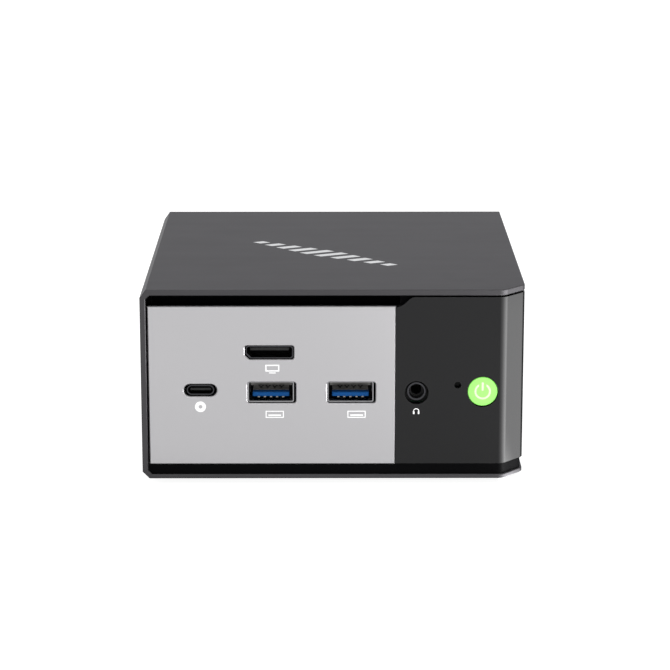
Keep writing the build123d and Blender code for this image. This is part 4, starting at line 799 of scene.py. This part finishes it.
def make_weave_tree():
    tree = bpy.data.node_groups.new("woven_filter", "GeometryNodeTree")
    face = tree.interface
    for socket, value in (("Depth", 0.1), ("Height", 0.04), ("Pitch", FILTER_PITCH), ("Wire Radius", WIRE_RADIUS)):
        face.new_socket(name=socket, in_out="INPUT", socket_type="NodeSocketFloat").default_value = value
    face.new_socket(name="Centre", in_out="INPUT", socket_type="NodeSocketVector")
    face.new_socket(name="Wire", in_out="INPUT", socket_type="NodeSocketMaterial")
    face.new_socket(name="Geometry", in_out="OUTPUT", socket_type="NodeSocketGeometry")
    given, result = tree.nodes.new("NodeGroupInput"), tree.nodes.new("NodeGroupOutput")

    def calc(operation, first, second):
        made = add_node(tree, "ShaderNodeMath", {"operation": operation})
        for socket, value in zip(made.inputs, (first, second)):
            if isinstance(value, (int, float)):
                socket.default_value = value
            else:
                tree.links.new(value, socket)
        return made.outputs[0]

    def vector(x=0.0, y=0.0, z=0.0):
        made = tree.nodes.new("ShaderNodeCombineXYZ")
        for socket, value in zip(made.inputs, (x, y, z)):
            if isinstance(value, (int, float)):
                socket.default_value = value
            else:
                tree.links.new(value, socket)
        return made.outputs[0]

    depth, height = given.outputs["Depth"], given.outputs["Height"]
    pitch = given.outputs["Pitch"]
    along = add_node(tree, "GeometryNodeInputPosition").outputs[0]
    apart = add_node(tree, "ShaderNodeSeparateXYZ")
    tree.links.new(along, apart.inputs[0])
    quarter = calc("MULTIPLY", pitch, 0.5)
    waves = [
        calc("COSINE", calc("DIVIDE", calc("MULTIPLY", apart.outputs[axis], pi), pitch), 0)
        for axis in ("Y", "Z")
    ]
    swing = calc("MULTIPLY", calc("MULTIPLY", *waves), given.outputs["Wire Radius"])
    sets = []
    for length, span, way, sign in ((depth, height, "Y", 1.0), (height, depth, "Z", -1.0)):
        half = calc("MULTIPLY", length, 0.5)
        wire = add_node(tree, "GeometryNodeCurvePrimitiveLine")
        ends = (vector(y=calc("MULTIPLY", half, -1)), vector(y=half)) if way == "Y" else (
            vector(z=calc("MULTIPLY", half, -1)), vector(z=half))
        tree.links.new(ends[0], wire.inputs["Start"])
        tree.links.new(ends[1], wire.inputs["End"])
        finer = add_node(tree, "GeometryNodeResampleCurve")
        finer.mode = "LENGTH"
        tree.links.new(wire.outputs[0], finer.inputs["Curve"])
        tree.links.new(quarter, finer.inputs["Length"])
        row = add_node(tree, "GeometryNodeMeshLine")
        row.mode = "OFFSET"
        count = calc("FLOOR", calc("DIVIDE", span, pitch), 0)
        tree.links.new(calc("ADD", count, 1), row.inputs["Count"])
        begin = calc("MULTIPLY", calc("MULTIPLY", count, pitch), -0.5)
        tree.links.new(vector(z=begin) if way == "Y" else vector(y=begin), row.inputs["Start Location"])
        tree.links.new(vector(z=pitch) if way == "Y" else vector(y=pitch), row.inputs["Offset"])
        laid = add_node(tree, "GeometryNodeInstanceOnPoints")
        tree.links.new(row.outputs[0], laid.inputs["Points"])
        tree.links.new(finer.outputs[0], laid.inputs["Instance"])
        real = add_node(tree, "GeometryNodeRealizeInstances")
        tree.links.new(laid.outputs[0], real.inputs[0])
        bent = add_node(tree, "GeometryNodeSetPosition")
        tree.links.new(real.outputs[0], bent.inputs["Geometry"])
        tree.links.new(vector(x=calc("MULTIPLY", swing, sign)), bent.inputs["Offset"])
        sets.append(bent)
    both = add_node(tree, "GeometryNodeJoinGeometry")
    for bent in sets:
        tree.links.new(bent.outputs[0], both.inputs[0])
    round_wire = add_node(tree, "GeometryNodeCurvePrimitiveCircle")
    round_wire.inputs["Resolution"].default_value = 4
    tree.links.new(given.outputs["Wire Radius"], round_wire.inputs["Radius"])
    solid = add_node(tree, "GeometryNodeCurveToMesh")
    tree.links.new(both.outputs[0], solid.inputs["Curve"])
    tree.links.new(round_wire.outputs[0], solid.inputs["Profile Curve"])
    solid.inputs["Fill Caps"].default_value = True
    placed = add_node(tree, "GeometryNodeTransform")
    tree.links.new(solid.outputs[0], placed.inputs["Geometry"])
    tree.links.new(given.outputs["Centre"], placed.inputs["Translation"])
    last = add_node(tree, "GeometryNodeRealizeInstances")
    tree.links.new(placed.outputs[0], last.inputs[0])
    painted = add_node(tree, "GeometryNodeSetMaterial")
    tree.links.new(last.outputs[0], painted.inputs["Geometry"])
    tree.links.new(given.outputs["Wire"], painted.inputs["Material"])
    tree.links.new(painted.outputs[0], result.inputs["Geometry"])
    return tree


WEAVE = make_weave_tree()


# %% [markdown]
# A tree only describes a shape. To use it, an empty mesh carries it as a modifier, the inputs are set by their
# identifiers, and the evaluated result is kept as a plain mesh.

# %% Run a tree
def run_tree(tree, name, values, start=None):
    """The mesh that a geometry tree makes with these input values, from an empty mesh or the one given."""
    carrier = bpy.data.objects.new(name + "_maker", start or bpy.data.meshes.new(name + "_seed"))
    scene.collection.objects.link(carrier)
    modifier = carrier.modifiers.new("maker", "NODES")
    modifier.node_group = tree
    for item in tree.interface.items_tree:
        if item.item_type == "SOCKET" and item.in_out == "INPUT" and item.name in values:
            modifier[item.identifier] = values[item.name]
    view_layer = bpy.context.evaluated_depsgraph_get()
    mesh = bpy.data.meshes.new_from_object(carrier.evaluated_get(view_layer))
    mesh.name = name
    carrier.modifiers.remove(modifier)
    bpy.data.objects.remove(carrier)
    return mesh


def join_meshes(meshes, name):
    """Several meshes as one."""
    shape = bmesh.new()
    for mesh in meshes:
        shape.from_mesh(mesh)
    joined = bpy.data.meshes.new(name)
    shape.to_mesh(joined)
    shape.free()
    return joined


filter_low, filter_high = (Vector(corner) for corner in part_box("dust_filters"))
FILTER_THICK = 0.4 * MM
filter_x = (filter_low.x + FILTER_THICK / 2, filter_high.x - FILTER_THICK / 2)
BORDER = 2.0 * MM
mesh_size = (filter_high.y - filter_low.y - BORDER, filter_high.z - filter_low.z - BORDER)
filter_middle = (filter_low + filter_high) / 2
weaves = [
    run_tree(WEAVE, "weave", {
        "Depth": mesh_size[0], "Height": mesh_size[1], "Pitch": FILTER_PITCH, "Wire Radius": WIRE_RADIUS,
        "Centre": (x, filter_middle.y, filter_middle.z), "Wire": finishes["filter_black"],
    })
    for x in filter_x
]
woven = finish_piece(join_meshes(weaves, "woven_filters"), "woven_filters", finishes["filter_black"])
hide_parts("dust_filters")
print("weave triangles:", sum(len(p.vertices) - 2 for p in woven.data.polygons))


# %% [markdown]
# A band of pressed film holds the edge of each woven panel.

# %% Filter borders
def make_borders():
    band = bmesh.new()
    for x in filter_x:
        x0, x1 = x - FILTER_THICK / 2, x + FILTER_THICK / 2
        y0, y1, z0, z1 = filter_low.y, filter_high.y, filter_low.z, filter_high.z
        add_box(band, (x0, y0, z0), (x1, y1, z0 + BORDER))
        add_box(band, (x0, y0, z1 - BORDER), (x1, y1, z1))
        add_box(band, (x0, y0, z0 + BORDER), (x1, y0 + BORDER, z1 - BORDER))
        add_box(band, (x0, y1 - BORDER, z0 + BORDER), (x1, y1, z1 - BORDER))
    return to_mesh(band, "filter_borders")


finish_piece(make_borders(), "filter_borders", finishes["matte_black"])


# %% [markdown]
# ## Small parts on the boards
# Hundreds of tiny resistors and capacitors sit on a real board. Geometry Nodes scatter a small block over chosen
# free patches, turn each one square to the board, and size them a little differently, with a fixed seed.

# %% Scatter tree
def make_scatter_tree():
    tree = bpy.data.node_groups.new("board_scatter", "GeometryNodeTree")
    face = tree.interface
    face.new_socket(name="Patches", in_out="INPUT", socket_type="NodeSocketGeometry")
    face.new_socket(name="Density", in_out="INPUT", socket_type="NodeSocketFloat").default_value = 20000.0
    face.new_socket(name="Apart", in_out="INPUT", socket_type="NodeSocketFloat").default_value = 2.0 * MM
    face.new_socket(name="Part Size", in_out="INPUT", socket_type="NodeSocketVector")
    face.new_socket(name="Seed", in_out="INPUT", socket_type="NodeSocketInt").default_value = 7
    face.new_socket(name="Part", in_out="INPUT", socket_type="NodeSocketMaterial")
    face.new_socket(name="Geometry", in_out="OUTPUT", socket_type="NodeSocketGeometry")
    given, result = tree.nodes.new("NodeGroupInput"), tree.nodes.new("NodeGroupOutput")
    spread = add_node(tree, "GeometryNodeDistributePointsOnFaces", {"distribute_method": "POISSON"})
    tree.links.new(given.outputs["Patches"], spread.inputs["Mesh"])
    tree.links.new(given.outputs["Apart"], spread.inputs["Distance Min"])
    tree.links.new(given.outputs["Density"], spread.inputs["Density Max"])
    tree.links.new(given.outputs["Seed"], spread.inputs["Seed"])
    block = add_node(tree, "GeometryNodeMeshCube")
    tree.links.new(given.outputs["Part Size"], block.inputs["Size"])
    turn = add_node(tree, "FunctionNodeRandomValue", {"data_type": "INT"})
    turn.inputs[4].default_value, turn.inputs[5].default_value = 0, 1
    tree.links.new(given.outputs["Seed"], turn.inputs["Seed"])
    angle = add_node(tree, "ShaderNodeMath", {"operation": "MULTIPLY"})
    angle.inputs[1].default_value = pi / 2
    tree.links.new(turn.outputs[2], angle.inputs[0])
    spin = tree.nodes.new("ShaderNodeCombineXYZ")
    tree.links.new(angle.outputs[0], spin.inputs["Z"])
    sizes = add_node(tree, "FunctionNodeRandomValue", {"data_type": "FLOAT"})
    sizes.inputs[2].default_value, sizes.inputs[3].default_value = 0.6, 1.25
    tree.links.new(given.outputs["Seed"], sizes.inputs["Seed"])
    laid = add_node(tree, "GeometryNodeInstanceOnPoints")
    tree.links.new(spread.outputs["Points"], laid.inputs["Points"])
    tree.links.new(block.outputs["Mesh"], laid.inputs["Instance"])
    tree.links.new(spin.outputs[0], laid.inputs["Rotation"])
    tree.links.new(sizes.outputs[1], laid.inputs["Scale"])
    real = add_node(tree, "GeometryNodeRealizeInstances")
    tree.links.new(laid.outputs[0], real.inputs[0])
    painted = add_node(tree, "GeometryNodeSetMaterial")
    tree.links.new(real.outputs[0], painted.inputs["Geometry"])
    tree.links.new(given.outputs["Part"], painted.inputs["Material"])
    tree.links.new(painted.outputs[0], result.inputs["Geometry"])
    return tree


SCATTER = make_scatter_tree()


# %% [markdown]
# The patches are free areas of the board, given as ((x0, x1), (y0, y1)) in millimetres. They lie a little under half
# a part's height above it, so a part of the stated size reaches the board and the smallest leave a 0.1 mm gap.

# %% Scatter the parts
BOARD_PATCHES = [
    ((-56, -20), (-20, -12)), ((-10, 24), (-45, -31)), ((28, 46), (-52, -42)), ((28, 33), (-20, 24)),
    ((-16, 2), (27, 42)), ((10, 28), (27, 44)), ((-32, -24), (10, 24)), ((42, 56), (-40, -22)),
]
board_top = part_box("motherboard")[1][2]


def make_patches(height):
    patches = bmesh.new()
    for (x0, x1), (y0, y1) in BOARD_PATCHES:
        corners = [(x0, y0), (x1, y0), (x1, y1), (x0, y1)]
        patches.faces.new([patches.verts.new((x * MM, y * MM, height)) for x, y in corners])
    mesh = bpy.data.meshes.new("patches")
    patches.to_mesh(mesh)
    patches.free()
    return mesh


finishes["part_tan"], _ = make_finish(
    "part_tan", linear(150, 118, 84), roughness=0.5, drift=0.25, drift_scale=600.0, pit_scale=2600.0,
    edge_width=0.0001, edge_lift=0.4,
)
for name, size, seed, apart, look in (
    ("board_capacitors", (1.7 * MM, 0.85 * MM, 0.8 * MM), 7, 2.6 * MM, "part_tan"),
    ("board_resistors", (1.1 * MM, 0.55 * MM, 0.4 * MM), 21, 1.9 * MM, "chip_black"),
):
    values = {"Density": 25000.0, "Apart": apart, "Part Size": size, "Seed": seed, "Part": finishes[look]}
    mesh = run_tree(SCATTER, name, values, make_patches(board_top + size[2] * 0.45))
    finish_piece(mesh, name, finishes[look])
    print(name, len(mesh.polygons) // 6, "parts")


# %% [markdown]
# ## The floor
# The machine stands on a lit table: a seamless white sheet with lamps under it. The lamps are stronger beyond the
# front right corner, so the corner's flat face and its bends pick up more light than the front does. Black cards
# beside the machine give its outer edges a dark line, as a studio does with shiny things on white.
# The sheet isn't part of the object.

# %% Floor
# Strengths all the way round from the left (0), through the front (a quarter) and the right (a half).
SECTOR_STOPS = (
    (0.27, 0.0), (0.322, 0.22), (0.356, 0.38), (0.392, 0.66), (0.429, 0.84), (0.465, 1.0), (0.50, 0.62),
    (0.52, 0.28), (0.545, 0.28), (0.565, 0.0),
)
CARD_STOPS = (
    (0.006, 0.7), (0.03, 0.0), (0.55, 0.0), (0.575, 1.0), (0.76, 1.0), (0.80, 0.0), (0.93, 0.0), (0.96, 0.7),
)
TABLE_GLOW, SECTOR_GLOW = 0.92, 11.8
SECTOR_MIDDLE = (0.055, -0.060)  # the point on the floor that the sectors spread from, near the front right corner
SECTOR_FULL, SECTOR_GONE = 0.25, 0.60  # metres from that point where sectors and cards start to fade and end


def set_stops(ramp, stops, ends):
    """Gives a colour ramp these grey stops, and one value at both of its ends."""
    for place, strength in stops:
        stop = ramp.elements.new(place)
        stop.color = (strength, strength, strength, 1.0)
    for end in (ramp.elements[0], ramp.elements[-1]):
        end.color = (ends, ends, ends, 1.0)


def make_lit_table():
    material, shader = make_finish(
        "lit_table", (0.25, 0.25, 0.25, 1.0), roughness=0.7, drift=0.01, drift_scale=3.0, pit_scale=900.0,
        pit_depth=0.00001, pit_strength=0.05, edge_lift=0.0,
    )
    tree = material.node_tree
    where = add_node(tree, "ShaderNodeTexCoord")
    centre = add_node(tree, "ShaderNodeMapping")
    centre.inputs["Location"].default_value = (-SECTOR_MIDDLE[0], -SECTOR_MIDDLE[1], 0.0)
    turn = add_node(tree, "ShaderNodeTexGradient", {"gradient_type": "RADIAL"})
    sector = add_node(tree, "ShaderNodeValToRGB")
    set_stops(sector.color_ramp, SECTOR_STOPS, 0.0)
    away = add_node(tree, "ShaderNodeVectorMath", {"operation": "LENGTH"})
    near = add_node(tree, "ShaderNodeMapRange", From_Min=SECTOR_FULL, From_Max=SECTOR_GONE, To_Min=1.0, To_Max=0.0)
    both = add_node(tree, "ShaderNodeMath", {"operation": "MULTIPLY"})
    glow = add_node(tree, "ShaderNodeMix", {"data_type": "RGBA"})
    glow.inputs["A"].default_value = (TABLE_GLOW, TABLE_GLOW, TABLE_GLOW, 1.0)
    glow.inputs["B"].default_value = (SECTOR_GLOW, SECTOR_GLOW, SECTOR_GLOW, 1.0)
    join(tree, where, "Object", centre, "Vector")
    join(tree, centre, "Vector", turn, "Vector")
    tree.links.new(turn.outputs["Fac"], sector.inputs["Fac"])
    tree.links.new(centre.outputs["Vector"], away.inputs[0])
    join(tree, away, "Value", near, "Value")
    tree.links.new(sector.outputs["Color"], both.inputs[0])
    tree.links.new(near.outputs["Result"], both.inputs[1])
    tree.links.new(both.outputs[0], glow.inputs["Factor"])
    # black cards on the sheet, kept out of the camera's own sight
    cards = add_node(tree, "ShaderNodeValToRGB")
    set_stops(cards.color_ramp, CARD_STOPS, CARD_STOPS[0][1])
    tree.links.new(turn.outputs["Fac"], cards.inputs["Fac"])
    seen = add_node(tree, "ShaderNodeLightPath")
    hidden = add_node(tree, "ShaderNodeMath", {"operation": "SUBTRACT"})
    hidden.inputs[0].default_value = 1.0
    tree.links.new(seen.outputs["Is Camera Ray"], hidden.inputs[1])
    close = add_node(tree, "ShaderNodeMath", {"operation": "MULTIPLY"})
    join(tree, cards, "Color", close, 0)
    join(tree, near, "Result", close, 1)
    dark = add_node(tree, "ShaderNodeMath", {"operation": "MULTIPLY"})
    join(tree, close, 0, dark, 0)
    join(tree, hidden, 0, dark, 1)
    for socket in ("Base Color", "Emission Color"):
        card = add_node(tree, "ShaderNodeMix", {"data_type": "RGBA"})
        card.inputs["B"].default_value = (0.0, 0.0, 0.0, 1.0)
        source = glow.outputs["Result"] if socket == "Emission Color" else shader.inputs[socket].links[0].from_socket
        tree.links.new(dark.outputs[0], card.inputs["Factor"])
        tree.links.new(source, card.inputs["A"])
        tree.links.new(card.outputs["Result"], shader.inputs[socket])
    shader.inputs["Emission Strength"].default_value = 1.0
    return material


floor_mesh = bpy.data.meshes.new("floor")
floor_mesh.from_pydata([(-4, -4, 0), (4, -4, 0), (4, 4, 0), (-4, 4, 0)], [], [(0, 1, 2, 3)])
floor = bpy.data.objects.new("floor", floor_mesh)
scene.collection.objects.link(floor)
floor_mesh.materials.append(make_lit_table())
